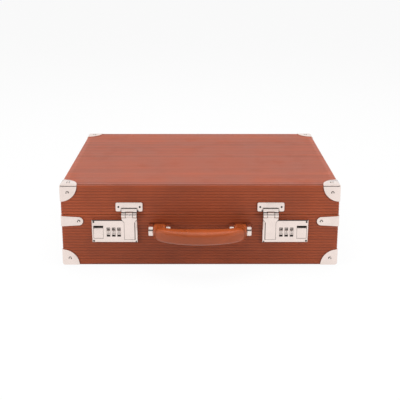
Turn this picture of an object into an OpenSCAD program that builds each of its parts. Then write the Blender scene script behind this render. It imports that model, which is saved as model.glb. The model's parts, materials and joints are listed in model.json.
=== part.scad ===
// Watch briefcase: a leather-covered board case with a hinged lid, two
// combination locks with hinged hasps, a folding handle, metal corners,
// slotted lid stays and a divided tray of watch cushions.
// Millimetres. The origin is in the plane that the case rests on, under the
// middle of the whole's box, handle included. The front faces -Y, +Z is up.

/* [Case] */
// Width of the case over the leather, along X
case_w = 430; // [420:1:460]
// Depth of the case over the leather, front to back
case_d = 320; // [314:1:350]
// Height of the base, from its leather underside to the parting line
base_h = 83.5; // [82:0.5:95]
// Height of the lid, from the parting line to its leather top
lid_h = 47.5; // [44:0.5:60]
// Radius of the rolled outer edges
edge_r = 3; // [2:0.5:3]
// Thickness of the leather cover
cover_t = 1.5; // [1.4:0.1:2]
// Thickness of the board that the shells are made of
board_t = 6; // [5:0.5:7]
// Thickness of the lining
lining_t = 1.5; // [1:0.1:2]
// Gap between the base and the closed lid
lid_gap = 0.4; // [0.3:0.1:0.8]

/* [Rim] */
// Thickness of the wooden rim inside the base's mouth
rim_t = 3; // [2.5:0.5:4]
// How far the rim reaches down inside the base
rim_depth = 12; // [11.5:0.5:13]
// How far the rim stands up into the lid
rim_rise = 6; // [3:0.5:6]
// Gap all round between the rim and the lid's lining
rim_gap = 0.5; // [0.4:0.1:0.8]

/* [Corners] */
// Thickness of the corner protectors and side clips
corner_t = 1.2; // [0.8:0.1:1.6]
// Reach of each rounded lobe from the corner
corner_reach = 26; // [22:1:30]
// Radius of the dome rivets
rivet_r = 2.7; // [1.5:0.1:3]
// Height of the dome rivets
rivet_h = 0.9; // [0.5:0.1:1.4]
// Distance of a corner's rivets from the two nearest edges
rivet_inset = 11.5; // [9:0.5:13]

/* [Side clips] */
// Length of a side clip's arm from the upright edge
clip_len = 34; // [26:1:40]
// Height of a side clip at the edge
clip_h = 17; // [14:0.5:20]
// Radius of the rounded end of a side clip's arm
clip_tip_r = 6.8; // [5:0.1:7]
// Distance of a side clip's middle below the parting line
clip_drop = 10.6; // [10.5:0.1:20]

/* [Locks] */
// Distance of a lock's middle from the side of the case
lock_side = 82.7; // [80:0.1:95]
// Distance of a lock's middle below the parting line
lock_drop = 26; // [25.5:0.1:30]
// Width of the lock plate
lock_w = 70.6; // [69:0.1:74]
// Height of the lock plate
lock_h = 37.1; // [36:0.1:38]
// How far the lock plate stands out from the leather
lock_t = 4.5; // [4:0.1:5.5]
// Width of the lock plate's bevelled border
lock_bevel = 1.2; // [0.6:0.1:1.4]
// Thickness of the lock plate's front wall
lock_wall = 1.5; // [1:0.1:1.8]
// Thickness of the lock plate's side walls and of the lock case
lock_case_wall = 1.2; // [1:0.1:1.5]
// Depth of the lock case behind the leather's face
lock_case_depth = 14; // [13.4:0.1:16]

/* [Dials] */
// Radius of a number dial
dial_r = 9; // [8:0.1:9.2]
// Width of a number dial
dial_w = 4.9; // [4:0.1:5.5]
// Distance between neighbouring dials
dial_pitch = 8.2; // [7.5:0.1:8.6]
// Distance of the middle dial from the lock's middle, outwards
dial_offset = 1.3; // [0.8:0.1:2]
// Depth of the dials' axis behind the plate's face
dial_sink = 8; // [7.8:0.1:9]
// Height of a dial's window
window_h = 14.8; // [13.5:0.1:16]
// Gap at each side of a dial in its window
window_gap = 0.3; // [0.2:0.05:0.5]
// Radius of the shaft that the dials turn on
shaft_r = 2; // [1.5:0.1:2.5]
// Count of the numbers on a dial
dial_marks = 10; // [10:1:10]

/* [Sliding buttons] */
// Width of a sliding button
button_w = 14.8; // [12:0.1:15]
// Height of a sliding button
button_h = 16.9; // [14:0.1:18]
// Travel of a sliding button
button_travel = 3.5; // [2:0.1:4]
// Width of the hidden flange round a sliding button
flange_w = 1.1; // [0.8:0.1:1.2]
// Thickness of that flange
flange_t = 1.4; // [1:0.1:1.5]
// Gap of moving lock parts to what holds them
slip = 0.3; // [0.2:0.05:0.4]
// Outer radius of a button's spring
spring_r = 1.1; // [0.8:0.1:1.2]
// Radius of the hole through a button's spring
spring_bore_r = 0.6; // [0.3:0.1:0.7]

/* [Hasps] */
// Distance of a hasp's middle from its lock's middle, inwards
hasp_inset = 23.1; // [22.8:0.1:23.8]
// Width of a hasp's neck
neck_w = 23.6; // [22:0.1:24]
// Width of a hasp's tongue
tongue_w = 15.9; // [12:0.1:17]
// Thickness of a hasp's arm
arm_t = 2; // [1.4:0.1:2.4]
// Distance of the tongue's lower end below the parting line
tongue_drop = 39.6; // [38:0.1:42]
// Height that the hasp's neck narrows over
neck_taper = 5; // [3:0.1:7]
// Radius of the hasp's hinge barrel
barrel_r = 4.2; // [3.6:0.1:4.2]
// Height of the hasp's hinge above the parting line
barrel_rise = 0.9; // [0.5:0.1:2]
// Length of the hasp's middle knuckle
knuckle_w = 10.5; // [8:0.1:12]
// Gap between knuckles of the hasp's hinge
knuckle_gap = 0.5; // [0.3:0.05:0.6]
// Radius of the hasp's hinge pin
hasp_pin_r = 1.2; // [0.8:0.1:1.6]
// Width of the hasp's plate on the lid
hasp_plate_w = 41.5; // [36:0.1:46]
// Height of the hasp's plate on the lid
hasp_plate_h = 14.6; // [12:0.1:18]
// Thickness of the hasp's plate on the lid
hasp_plate_t = 1.8; // [1.2:0.1:2.2]
// Radius of the hasp plate's corners
hasp_plate_r = 2.3; // [1:0.1:4]

/* [Handle] */
// Distance of a handle pivot's middle from its lock's middle, inwards
handle_inset = 70.3; // [66:0.1:74]
// Distance of the handle's axis below the parting line
handle_drop = 22; // [20:0.5:28]
// Distance of the handle's axis from the leather's face
pivot_out = 11.5; // [11.5:0.1:13]
// Reach of the grip from the leather's face
grip_reach = 51; // [48:0.5:54]
// Width of the grip at its middle
grip_w = 26; // [22:0.5:27]
// Width of the grip's ends
grip_end_w = 19.6; // [16:0.1:21]
// Thickness of the grip's ends
grip_t = 20; // [16:0.5:20]
// Thickness of the grip at its middle
grip_mid_t = 22; // [16:0.5:22.5]
// Width of a bracket's ears
ear_w = 6.7; // [5:0.1:8]
// Radius of a bracket's ears
ear_r = 8.5; // [7:0.1:9]
// Thickness of a bracket's foot
foot_t = 1.2; // [0.8:0.1:1.2]
// Radius of the handle's pins
pin_r = 2; // [1.5:0.1:2.5]
// Thickness of the steel core in the grip
core_t = 3; // [2:0.1:4]
// Height of the steel core in the grip
core_h = 12; // [8:0.5:14]
// Radius of the core's eyes
eye_r = 4.5; // [3.5:0.1:5.5]

/* [Back hinge] */
// Length of the back hinge
hinge_len = 380; // [340:20:380]
// Radius of the back hinge's barrel
hinge_r = 2.7; // [2.2:0.1:3]
// Radius of the back hinge's pin
hinge_pin_r = 1.2; // [0.8:0.1:1.4]
// Thickness of the back hinge's leaves
leaf_t = 1; // [0.8:0.1:1.4]
// Height of each leaf of the back hinge
leaf_h = 14; // [10:0.5:18]
// Length of each knuckle of the back hinge
hinge_step = 20; // [10:10:20]
// Radial play of a pin in its bore
pin_play = 0.05; // [0.02:0.01:0.08]

/* [Lid stays] */
// How much less than the base's height the stay's two pins stand from the back
// hinge's axis
stay_less = 41.5; // [37.5:0.5:43.5]
// Height of those pins above and below the parting line
stay_rise = 8.73; // [8.7:0.01:9.4]
// Widest angle of the open lid
open_angle = 95; // [80:1:100]
// Radius of the stay's pins
stay_pin_r = 2.3; // [1.5:0.1:2.4]
// Width of the stay
stay_w = 10; // [8:0.5:11]
// Thickness of the stay
stay_t = 2; // [1.5:0.1:2.5]
// Gap between the stay and the rim
stay_gap = 1.7; // [1:0.1:2]
// Length of the pins' heads
stay_head_t = 0.8; // [0.5:0.1:1]
// Radius of the pins' heads
stay_head_r = 4; // [3.2:0.1:4.5]

/* [Tray] */
// Count of cells across the tray
cells_x = 6; // [4:1:7]
// Count of cells from front to back
cells_y = 3; // [2:1:4]
// Thickness of the dividers
divider_t = 3; // [2:0.5:4]
// Distance of the dividers' upper edges below the parting line
divider_drop = 14.5; // [9.5:0.5:21.5]
// Thickness of the tray's floor
tray_t = 3; // [2:0.5:4]
// Gap between the tray and what stands round it
tray_gap = 0.5; // [0.3:0.1:1]
// Gap between a watch cushion and its cell's walls
cushion_gap = 4; // [2:0.5:6]
// Height of a watch cushion
cushion_h = 44; // [36:1:46]

/* [Lid pad] */
// Thickness of the lid's padded panel at its middle
pad_t = 24; // [16:1:26]
// Gap between the padded panel and the stays
pad_gap = 3; // [2:0.5:6]

/* [Hidden] */
$fn = 64;

// Overlap that keeps cuts clean
eps = 0.5;
// The leather underside stands on the corner protectors' thickness
floor_z = corner_t;
part_z = floor_z + base_h;
top_z = part_z + lid_h;
wall_t = cover_t + board_t + lining_t;
inner_w = case_w - 2 * wall_t;
inner_d = case_d - 2 * wall_t;
inner_floor_z = floor_z + wall_t;
rim_inner_x = inner_w / 2 - rim_t;

// Values of the corner protectors and side clips
corner_block = corner_reach + 10;
clip_z = base_h - clip_drop;

// Values of the locks, x measured outwards from the middle of the case and
// heights upwards from the leather underside
lock_x = case_w / 2 - lock_side;
lock_z = base_h - lock_drop;
lock_x0 = lock_x - lock_w / 2;
lock_x1 = lock_x + lock_w / 2;
lock_y0 = lock_z - lock_h / 2;
lock_y1 = lock_z + lock_h / 2;
case_margin = 2.6;
lock_case_x0 = lock_x0 + case_margin;
lock_case_x1 = lock_x1 - lock_case_wall;
lock_case_y0 = lock_y0 + case_margin;
// the case ends under the rim
lock_case_y1 = base_h - rim_depth - 0.65;
hasp_x = lock_x - hasp_inset;
block_x1 = hasp_x + neck_w / 2 + 0.9;
dial_x = lock_x + dial_offset;
dial_y = lock_z - 1.2;
dial_out = lock_t - dial_sink;
dial_lip = dial_w / 2 + dial_pitch;
post_t = 2;
post_gap = 1.6;
post_x0 = dial_x - dial_lip - post_gap - post_t;
post_x1 = dial_x + dial_lip + post_gap;
post_w = 8;
button_x = lock_x1 - lock_case_wall - slip - flange_w - button_w / 2 - 0.2;
button_y0 = lock_y0 + 7.1;
button_sunk = 0.2;
flange_reach = 1.8;
screw_r = 1.7;
small_screw_r = 1.2;
screw_h = 0.4;
screw_inset = 3;

// Values of the hasps
tongue_z = base_h - tongue_drop;
neck_z = lock_z + lock_h / 2 + 0.8;
barrel_y = base_h + barrel_rise;
barrel_out = barrel_r + 0.4;
arm_out = lock_t - arm_t;
neck_top = barrel_y - barrel_r - 0.8;
tail_z = barrel_y + barrel_r + 0.6;
hasp_leaf_h = 5;
hasp_leaf_t = 1.8;
groove_w = 0.8;
groove_d = 1;
staple_w = 4;
staple_h = 3;
staple_y = base_h - 30.9;
staple_in = 0.3;
slot_w = 1.1;
slot_d = 1.2;

// Values of the handle
handle_x = lock_x - handle_inset;
handle_z = base_h - handle_drop;
drum_r = grip_t / 2;
grip_mid = grip_reach - grip_w / 2;
ear_x = handle_x + grip_end_w / 2 + 0.2;
// The foot between the ears is lower than they are
foot_half = ear_r - 3;
grip_power = 2 / 3.4;
grip_steps = 10;
grip_sides = 20;
// The half path of the grip, seen from above: straight past the ears, then a
// curve with two guides, then straight across
grip_a = [handle_x, pivot_out + ear_r + 1];
grip_b = [handle_x, grip_a[1] + 11];
grip_c = [handle_x * 23 / 31, grip_mid];
grip_d = [handle_x * 6 / 31, grip_mid];
// How much the grip's half width draws in over its bends
grip_waist = 2.2;

// Values of the back hinge
hinge_y = case_d / 2 + hinge_r;
leaf_clear = hinge_r + 0.3;
hinge_count = hinge_len / hinge_step;
hinge_rivet_step = 60;

// The case's middle stands behind the origin by half of what the handle
// reaches further out than the hinge, to a hundredth of a millimetre
grip_front = grip_mid + pow(cos(180 / grip_sides), grip_power) * grip_w / 2;
case_y = round(50 * (grip_front - 2 * hinge_r)) / 100;

// Values of the lid stays
stay_x = rim_inner_x - stay_gap - stay_t;
stay_a = base_h - stay_less;
stay_angle = asin(stay_rise / stay_a);
stay_y = hinge_y - stay_a * cos(stay_angle);
chord_shut = 2 * stay_a * sin(stay_angle);
chord_open = 2 * stay_a * sin(stay_angle + open_angle / 2);
slot_play = 0.3;
slot_r = stay_pin_r + slot_play;
stay_head_gap = 0.4;
stay_pin_x = stay_x - stay_head_gap;

// Values of the tray
tray_x = stay_pin_x - stay_head_t - 2 * tray_gap;
tray_y0 = -case_d / 2 + lock_case_depth + tray_gap;
tray_y1 = inner_d / 2 - rim_t - tray_gap;
tray_w = 2 * tray_x;
tray_d = tray_y1 - tray_y0;
cell_w = (tray_w - divider_t) / cells_x;
cell_d = (tray_d - divider_t) / cells_y;
divider_z = inner_floor_z + tray_t;
divider_h = part_z - divider_drop - divider_z;
lap_gap = 0.1;
cushion_lift = 0.3;
cushion_sides = 18;
cushion_rings = 9;

// Values of the lid
lid_z = part_z + lid_gap;
lid_ceiling_z = top_z - wall_t;
pad_x = tray_x - pad_gap;
pad_y = inner_d / 2 - rim_t - pad_gap;

leather = "sienna";
dark_leather = "saddlebrown";
metal = "gainsboro";
steel = "silver";
board = "burlywood";
suede = "tan";

// Draws its children mirrored in each axis that is asked for
module flip(x = false, y = false, z = false) {
    if (x) mirror([1, 0, 0]) flip(false, y, z) children();
    else if (y) mirror([0, 1, 0]) flip(false, false, z) children();
    else if (z) mirror([0, 0, 1]) children();
    else children();
}

// Places children drawn on the front face: x across, y up from the leather
// underside, z outwards from the leather
module on_front(left = false) {
    flip(left)
        translate([0, -case_d / 2, floor_z])
            rotate([90, 0, 0])
                children();
}

// A box given by two opposite corners
module span(a, b) {
    translate(a) cube(b - a);
}

// A bar along X, from x0 to x1, at a place in Y and Z
module bar_x(x0, x1, y, z, r) {
    translate([x0, y, z]) rotate([0, 90, 0]) cylinder(r = r, h = x1 - x0);
}

// A corner of a solid with rolled edges, filling the negative octant
module soft_block(size, r) {
    in = size - r;
    translate([-size, -size, -size]) cube([size, in, in]);
    translate([-size, -size, -size]) cube([in, size, in]);
    translate([-size, -size, -size]) cube([in, in, size]);
    translate([-r, -r, -size]) cylinder(r = r, h = in);
    translate([-size, -r, -r]) rotate([0, 90, 0]) cylinder(r = r, h = in);
    translate([-r, -r, -r]) rotate([90, 0, 0]) cylinder(r = r, h = in);
    translate([-r, -r, -r]) sphere(r = r);
}

// The whole case over the leather, with rolled edges all round
module case_form() {
    w = case_w - 2 * edge_r;
    d = case_d - 2 * edge_r;
    h = top_z - floor_z - 2 * edge_r;
    translate([0, 0, floor_z + edge_r]) {
        translate([-w / 2, -d / 2, -edge_r]) cube([w, d, h + 2 * edge_r]);
        translate([-w / 2 - edge_r, -d / 2, 0]) cube([w + 2 * edge_r, d, h]);
        translate([-w / 2, -d / 2 - edge_r, 0]) cube([w, d + 2 * edge_r, h]);
        for (x = [-w / 2, w / 2], y = [-d / 2, d / 2]) {
            translate([x, y, 0]) cylinder(r = edge_r, h = h);
            for (z = [0, h]) translate([x, y, z]) sphere(r = edge_r);
        }
        for (z = [0, h]) {
            for (y = [-d / 2, d / 2]) bar_x(-w / 2, w / 2, y, z, edge_r);
            for (x = [-w / 2, w / 2])
                translate([x, d / 2, z]) rotate([90, 0, 0])
                    cylinder(r = edge_r, h = d);
        }
    }
}

// A box of the case's plan, drawn in by inset on each side
module plan_box(inset, z0, z1) {
    w = case_w - 2 * inset;
    d = case_d - 2 * inset;
    translate([-w / 2, -d / 2, z0]) cube([w, d, z1 - z0]);
}

// The openings that the lock cases pass through
module lock_cuts() {
    for (left = [false, true]) on_front(left)
        span([lock_case_x0 - slip, lock_case_y0 - slip, -lock_case_depth - eps],
            [lock_case_x1 + slip, lock_case_y1 + slip, eps]);
}

module base_cover() {
    color(leather) difference() {
        intersection() {
            case_form();
            plan_box(-eps, 0, part_z);
        }
        plan_box(cover_t, floor_z + cover_t, part_z + eps);
        lock_cuts();
    }
}

module base_shell() {
    color(board) difference() {
        plan_box(cover_t, floor_z + cover_t, part_z);
        plan_box(cover_t + board_t, floor_z + cover_t + board_t, part_z + eps);
        lock_cuts();
    }
}

module base_lining() {
    color(suede) difference() {
        plan_box(cover_t + board_t, floor_z + cover_t + board_t, part_z);
        plan_box(wall_t, inner_floor_z, part_z + eps);
        lock_cuts();
    }
}

module base_rim() {
    color(board) difference() {
        union() {
            plan_box(wall_t, part_z - rim_depth, part_z);
            plan_box(wall_t + rim_gap, part_z - eps, part_z + rim_rise);
        }
        plan_box(wall_t + rim_t, part_z - rim_depth - eps, part_z + rim_rise + eps);
    }
}

module lid_cover() {
    color(leather) difference() {
        intersection() {
            case_form();
            plan_box(-eps, lid_z, top_z + eps);
        }
        plan_box(cover_t, lid_z - eps, top_z - cover_t);
    }
}

module lid_shell() {
    color(board) difference() {
        plan_box(cover_t, lid_z, top_z - cover_t);
        plan_box(cover_t + board_t, lid_z - eps, top_z - cover_t - board_t);
    }
}

module lid_lining() {
    color(suede) difference() {
        plan_box(cover_t + board_t, lid_z, top_z - cover_t - board_t);
        plan_box(wall_t, lid_z - eps, lid_ceiling_z);
    }
}

// One corner protector, on the corner of a case that fills the negative octant
module corner_sheet() {
    color(metal) intersection() {
        difference() {
            translate([corner_t, corner_t, corner_t])
                soft_block(corner_block, edge_r + corner_t);
            soft_block(corner_block + eps, edge_r);
        }
        union() {
            translate([0, 0, -edge_r]) cylinder(r = corner_reach, h = corner_block);
            translate([0, corner_block - edge_r, 0]) rotate([90, 0, 0])
                cylinder(r = corner_reach, h = corner_block);
            bar_x(-edge_r, corner_block, 0, 0, corner_reach);
        }
    }
}

// Moves children from a corner of the negative octant to a corner of the case
module at_corner(right, back, top) {
    translate([right ? case_w / 2 : -case_w / 2, back ? case_d / 2 : -case_d / 2,
            top ? top_z : floor_z])
        flip(!right, !back, !top)
            children();
}

// A low dome standing on z = 0
module dome(r, h) {
    ball = (r * r + h * h) / (2 * h);
    intersection() {
        translate([0, 0, h - ball]) sphere(r = ball);
        cylinder(r = r + eps, h = h + eps);
    }
}

// The rivets of one corner protector. One that the case rests on has no rivet
// in its flat side, so it stands flat
module corner_rivets(rests) {
    color(steel) {
        if (!rests)
            translate([-rivet_inset, -rivet_inset, corner_t]) dome(rivet_r, rivet_h);
        translate([corner_t, -rivet_inset, -rivet_inset]) rotate([0, 90, 0])
            dome(rivet_r, rivet_h);
        translate([-rivet_inset, corner_t, -rivet_inset]) rotate([-90, 0, 0])
            dome(rivet_r, rivet_h);
    }
}

// A round-cornered slab of an upright edge, on a case in the negative quadrant
module upright_block(size, r, h) {
    in = size - r;
    translate([-size, -size, -h / 2]) cube([size, in, h]);
    translate([-size, -size, -h / 2]) cube([in, size, h]);
    translate([-r, -r, -h / 2]) cylinder(r = r, h = h);
}

// Outline of one arm of a side clip, from the edge towards -X
module clip_outline() {
    in = clip_len - clip_tip_r;
    polygon([[corner_t + eps, -clip_h / 2], [corner_t + eps, clip_h / 2],
        [-in, clip_tip_r], [-in, -clip_tip_r]]);
    translate([-in, 0]) circle(r = clip_tip_r);
}

module side_clip(right) {
    reach = clip_len + 10;
    tall = clip_h + 2;
    color(metal)
        translate([right ? case_w / 2 : -case_w / 2, -case_d / 2, floor_z + clip_z])
            flip(!right, true)
                intersection() {
                    difference() {
                        translate([corner_t, corner_t, 0])
                            upright_block(reach, edge_r + corner_t, tall);
                        upright_block(reach + eps, edge_r, tall + eps);
                    }
                    union() {
                        translate([0, reach - edge_r, 0]) rotate([90, 0, 0])
                            linear_extrude(reach) clip_outline();
                        translate([-edge_r, 0, 0]) rotate([90, 0, 90])
                            linear_extrude(reach) clip_outline();
                    }
                }
}

// The two rivets of one side clip
module clip_rivets(right) {
    in = clip_len - clip_tip_r;
    translate([right ? case_w / 2 : -case_w / 2, -case_d / 2, floor_z + clip_z])
        flip(!right, true) {
            translate([-in, corner_t, 0]) rotate([-90, 0, 0]) dome(rivet_r, rivet_h);
            translate([corner_t, -in, 0]) rotate([0, 90, 0]) dome(rivet_r, rivet_h);
        }
}

// A slab on the front face whose outer edges are bevelled
module bevelled_slab(x0, x1, y0, y1, t, b) {
    intersection() {
        translate([x0, 0, 0]) rotate([90, 0, 90]) linear_extrude(x1 - x0)
            polygon([[y0, 0], [y1, 0], [y1, t - b], [y1 - b, t], [y0 + b, t], [y0, t - b]]);
        translate([0, y1, 0]) rotate([90, 0, 0]) linear_extrude(y1 - y0)
            polygon([[x0, 0], [x1, 0], [x1, t - b], [x1 - b, t], [x0 + b, t], [x0, t - b]]);
    }
}

// Outline of a hasp's arm, grown by a gap on every side
module arm_outline(grow, top) {
    n = neck_w / 2 + grow;
    t = tongue_w / 2 + grow;
    low = neck_z - neck_taper - grow;
    polygon([[hasp_x - n, top], [hasp_x + n, top], [hasp_x + n, neck_z - grow],
        [hasp_x + t, low], [hasp_x + t, tongue_z - grow],
        [hasp_x - t, tongue_z - grow], [hasp_x - t, low], [hasp_x - n, neck_z - grow]]);
}

module lock_plate(left) {
    color(metal) on_front(left) difference() {
        bevelled_slab(lock_x0, lock_x1, lock_y0, lock_y1, lock_t, lock_bevel);
        // the hollow behind the dials and the button
        span([block_x1, lock_y0 + lock_case_wall, -eps],
            [lock_x1 - lock_case_wall, lock_y1 - lock_case_wall, lock_t - lock_wall]);
        // the bed of the hasp's arm
        translate([0, 0, arm_out - slip]) linear_extrude(lock_t)
            arm_outline(slip, lock_y1 + eps);
        // the wider slot along the tongue's inner edge
        span([hasp_x - tongue_w / 2 - slot_w, tongue_z - slip, arm_out - slot_d],
            [hasp_x - tongue_w / 2, neck_z - neck_taper, lock_t]);
        // the channel of the hasp's staple, open at the top
        span([hasp_x - staple_w / 2 - slip, staple_y - slip, -eps],
            [hasp_x + staple_w / 2 + slip, lock_y1 + eps, lock_t]);
        for (i = [-1:1]) span(
            [dial_x + i * dial_pitch - dial_w / 2 - window_gap, dial_y - window_h / 2, 0],
            [dial_x + i * dial_pitch + dial_w / 2 + window_gap, dial_y + window_h / 2,
                lock_t + eps]);
        span([button_x - button_w / 2 - slip, button_y0 - slip, 0],
            [button_x + button_w / 2 + slip, button_y0 + button_h + button_travel + slip,
                lock_t + eps]);
    }
}

module lock_case(left) {
    w = lock_case_wall;
    color(steel) on_front(left) difference() {
        union() {
            difference() {
                span([lock_case_x0, lock_case_y0, -lock_case_depth],
                    [lock_case_x1, lock_case_y1, 0]);
                span([lock_case_x0 + w, lock_case_y0 + w, -lock_case_depth + w],
                    [lock_case_x1 - w, lock_case_y1 - w, eps]);
            }
            // the two posts that carry the dials' shaft
            for (x = [post_x0, post_x1]) span(
                [x, dial_y - post_w / 2, -lock_case_depth + w / 2],
                [x + post_t, dial_y + post_w / 2, dial_out + shaft_r + 1]);
        }
        bar_x(post_x0 - eps, post_x1 + post_t + eps, dial_y, dial_out,
            shaft_r + pin_play);
    }
}

module dial_shafts() {
    color(steel) for (left = [false, true]) on_front(left)
        bar_x(post_x0, post_x1 + post_t, dial_y, dial_out, shaft_r);
}

// Dial number 0, 1 or 2 of a lock, counted outwards
module dial(left, i) {
    x = dial_x + (i - 1) * dial_pitch - dial_w / 2;
    notch_r = 0.45;
    color(metal) on_front(left) difference() {
        bar_x(x, x + dial_w, dial_y, dial_out, dial_r);
        bar_x(x - eps, x + dial_w + eps, dial_y, dial_out, shaft_r + pin_play);
        for (k = [0:dial_marks - 1])
            translate([0, dial_y, dial_out]) rotate([(k + 0.5) * 360 / dial_marks, 0, 0])
                bar_x(x - eps, x + dial_w + eps, 0, dial_r, notch_r);
    }
}

module slider(left) {
    x0 = button_x - button_w / 2;
    x1 = button_x + button_w / 2;
    y1 = button_y0 + button_h;
    back = lock_t - lock_wall - 0.2;
    bevel = 1;
    color(metal) on_front(left) {
        translate([x0, 0, 0]) rotate([90, 0, 90]) linear_extrude(button_w)
            polygon([[button_y0, back - flange_t], [y1, back - flange_t],
                [y1, lock_t - button_sunk - bevel], [y1 - bevel, lock_t - button_sunk],
                [button_y0, lock_t - button_sunk]]);
        span([x0 - flange_w, button_y0 - flange_reach, back - flange_t],
            [x1 + flange_w, y1 + flange_reach, back]);
    }
}

module slider_spring(left) {
    y0 = button_y0 + button_h + flange_reach;
    y1 = lock_y1 - lock_case_wall;
    color(steel) on_front(left)
        translate([button_x, y1, lock_t - lock_wall - 0.2 - spring_r])
            rotate([90, 0, 0])
                difference() {
                    cylinder(r = spring_r, h = y1 - y0);
                    translate([0, 0, -eps]) cylinder(r = spring_bore_r, h = y1 - y0 + 2 * eps);
                }
}

// The small screws on both lock plates
module lock_screws() {
    for (left = [false, true]) on_front(left)
        for (p = [[lock_x1 - screw_inset, lock_y0 + screw_inset, screw_r],
                [lock_x1 - screw_inset, lock_y1 - screw_inset, screw_r],
                [lock_x0 + 2, lock_y0 + 2, small_screw_r]])
            translate([p[0], p[1], lock_t]) dome(p[2], screw_h);
}

module hasp_plate(left) {
    x0 = hasp_x - hasp_plate_w / 2;
    r = hasp_plate_r;
    color(metal) on_front(left) difference() {
        union() {
            span([x0 + r, tail_z, 0], [x0 + hasp_plate_w - r, tail_z + hasp_plate_h,
                hasp_plate_t]);
            span([x0, tail_z + r, 0], [x0 + hasp_plate_w, tail_z + hasp_plate_h - r,
                hasp_plate_t]);
            for (x = [x0 + r, x0 + hasp_plate_w - r],
                    y = [tail_z + r, tail_z + hasp_plate_h - r])
                translate([x, y, 0]) cylinder(r = r, h = hasp_plate_t);
            span([hasp_x - neck_w / 2, tail_z, 0],
                [hasp_x + neck_w / 2, tail_z + hasp_leaf_h, hasp_plate_t + hasp_leaf_t]);
            for (s = [-1, 1]) {
                a = hasp_x + s * (knuckle_w / 2 + knuckle_gap);
                b = hasp_x + s * neck_w / 2;
                span([min(a, b), barrel_y + 1, hasp_plate_t],
                    [max(a, b), tail_z + eps, hasp_plate_t + hasp_leaf_t]);
                bar_x(min(a, b), max(a, b), barrel_y, barrel_out, barrel_r);
            }
        }
        // the groove that sets off the raised leaf
        difference() {
            span([hasp_x - neck_w / 2 - groove_w, tail_z - eps, hasp_plate_t - groove_d],
                [hasp_x + neck_w / 2 + groove_w, tail_z + hasp_leaf_h + groove_w,
                    hasp_plate_t + eps]);
            span([hasp_x - neck_w / 2, tail_z - 2 * eps, 0],
                [hasp_x + neck_w / 2, tail_z + hasp_leaf_h, hasp_plate_t + 2 * eps]);
        }
        bar_x(hasp_x - neck_w, hasp_x + neck_w, barrel_y, barrel_out,
            hasp_pin_r + pin_play);
    }
}

module hasp(left) {
    color(metal) on_front(left) difference() {
        union() {
            translate([0, 0, arm_out]) linear_extrude(arm_t)
                arm_outline(0, neck_top);
            span([hasp_x - knuckle_w / 2, neck_top - eps, arm_out],
                [hasp_x + knuckle_w / 2, barrel_y, arm_out + arm_t]);
            bar_x(hasp_x - knuckle_w / 2, hasp_x + knuckle_w / 2, barrel_y,
                barrel_out, barrel_r);
            span([hasp_x - staple_w / 2, staple_y, staple_in],
                [hasp_x + staple_w / 2, staple_y + staple_h, arm_out + arm_t / 2]);
        }
        bar_x(hasp_x - knuckle_w, hasp_x + knuckle_w, barrel_y, barrel_out,
            hasp_pin_r + pin_play);
    }
}

module hasp_pins() {
    color(steel) for (left = [false, true]) on_front(left)
        bar_x(hasp_x - neck_w / 2, hasp_x + neck_w / 2, barrel_y, barrel_out,
            hasp_pin_r);
}

// The small screws on both hasp plates
module hasp_screws() {
    for (left = [false, true]) on_front(left)
        for (s = [-1, 1])
            translate([hasp_x + s * (hasp_plate_w / 2 - 4.3),
                    tail_z + hasp_plate_h / 2, hasp_plate_t])
                dome(screw_r, screw_h);
}

// One ear of a handle bracket, from x0 to x1
module bracket_ear(x0, x1) {
    span([x0, handle_z - ear_r, 0], [x1, handle_z + ear_r, pivot_out]);
    bar_x(x0, x1, handle_z, pivot_out, ear_r);
}

module handle_bracket(left) {
    in = 2 * handle_x - ear_x;
    color(metal) on_front(left) difference() {
        union() {
            bracket_ear(ear_x, ear_x + ear_w);
            bracket_ear(in - ear_w, in);
            span([in - ear_w, handle_z - foot_half, 0],
                [ear_x + ear_w, handle_z + foot_half, foot_t]);
        }
        bar_x(in - ear_w - eps, ear_x + ear_w + eps, handle_z, pivot_out,
            pin_r + pin_play);
    }
}

module handle_pins() {
    in = 2 * handle_x - ear_x;
    color(steel) for (left = [false, true]) on_front(left)
        bar_x(in - ear_w, ear_x + ear_w, handle_z, pivot_out, pin_r);
}

// A point on the curved end of the grip's path, t from 0 past the ears to 1
function curve(t) = pow(1 - t, 3) * grip_a + 3 * pow(1 - t, 2) * t * grip_b
    + 3 * (1 - t) * t * t * grip_c + pow(t, 3) * grip_d;
// Direction of the path there, of length 1
function slope(t) = let (d = pow(1 - t, 2) * (grip_b - grip_a)
    + 2 * (1 - t) * t * (grip_c - grip_b) + t * t * (grip_d - grip_c)) d / norm(d);
// Half of the grip's width there
function half_w(t) = (grip_end_w + (grip_w - grip_end_w) * (1 - pow(1 - t, 2))) / 2
    - grip_waist * 4 * t * (1 - t);
// Half of its thickness there
function half_t(t) = (grip_t + (grip_mid_t - grip_t) * t) / 2;

// The path's stations from the right pivot to the left one: x, out, direction,
// half width and half thickness
grip_half = concat([[[handle_x, pivot_out], [0, 1], grip_end_w / 2, grip_t / 2]],
    [for (i = [0:grip_steps]) let (t = i / grip_steps)
        [curve(t), slope(t), half_w(t), half_t(t)]]);
grip_path = concat(grip_half, [for (i = [grip_steps + 1:-1:0]) let (s = grip_half[i])
    [[-s[0][0], s[0][1]], [s[1][0], -s[1][1]], s[2], s[3]]]);

function soft_power(v) = sign(v) * pow(abs(v), grip_power);
// One rounded section of the grip at a station
function grip_ring(s) = [for (k = [0:grip_sides - 1])
    let (a = 360 * (k + 0.5) / grip_sides, w = soft_power(cos(a)) * s[2])
    [s[0][0] + w * s[1][1], handle_z + soft_power(sin(a)) * s[3],
        s[0][1] - w * s[1][0]]];
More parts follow.
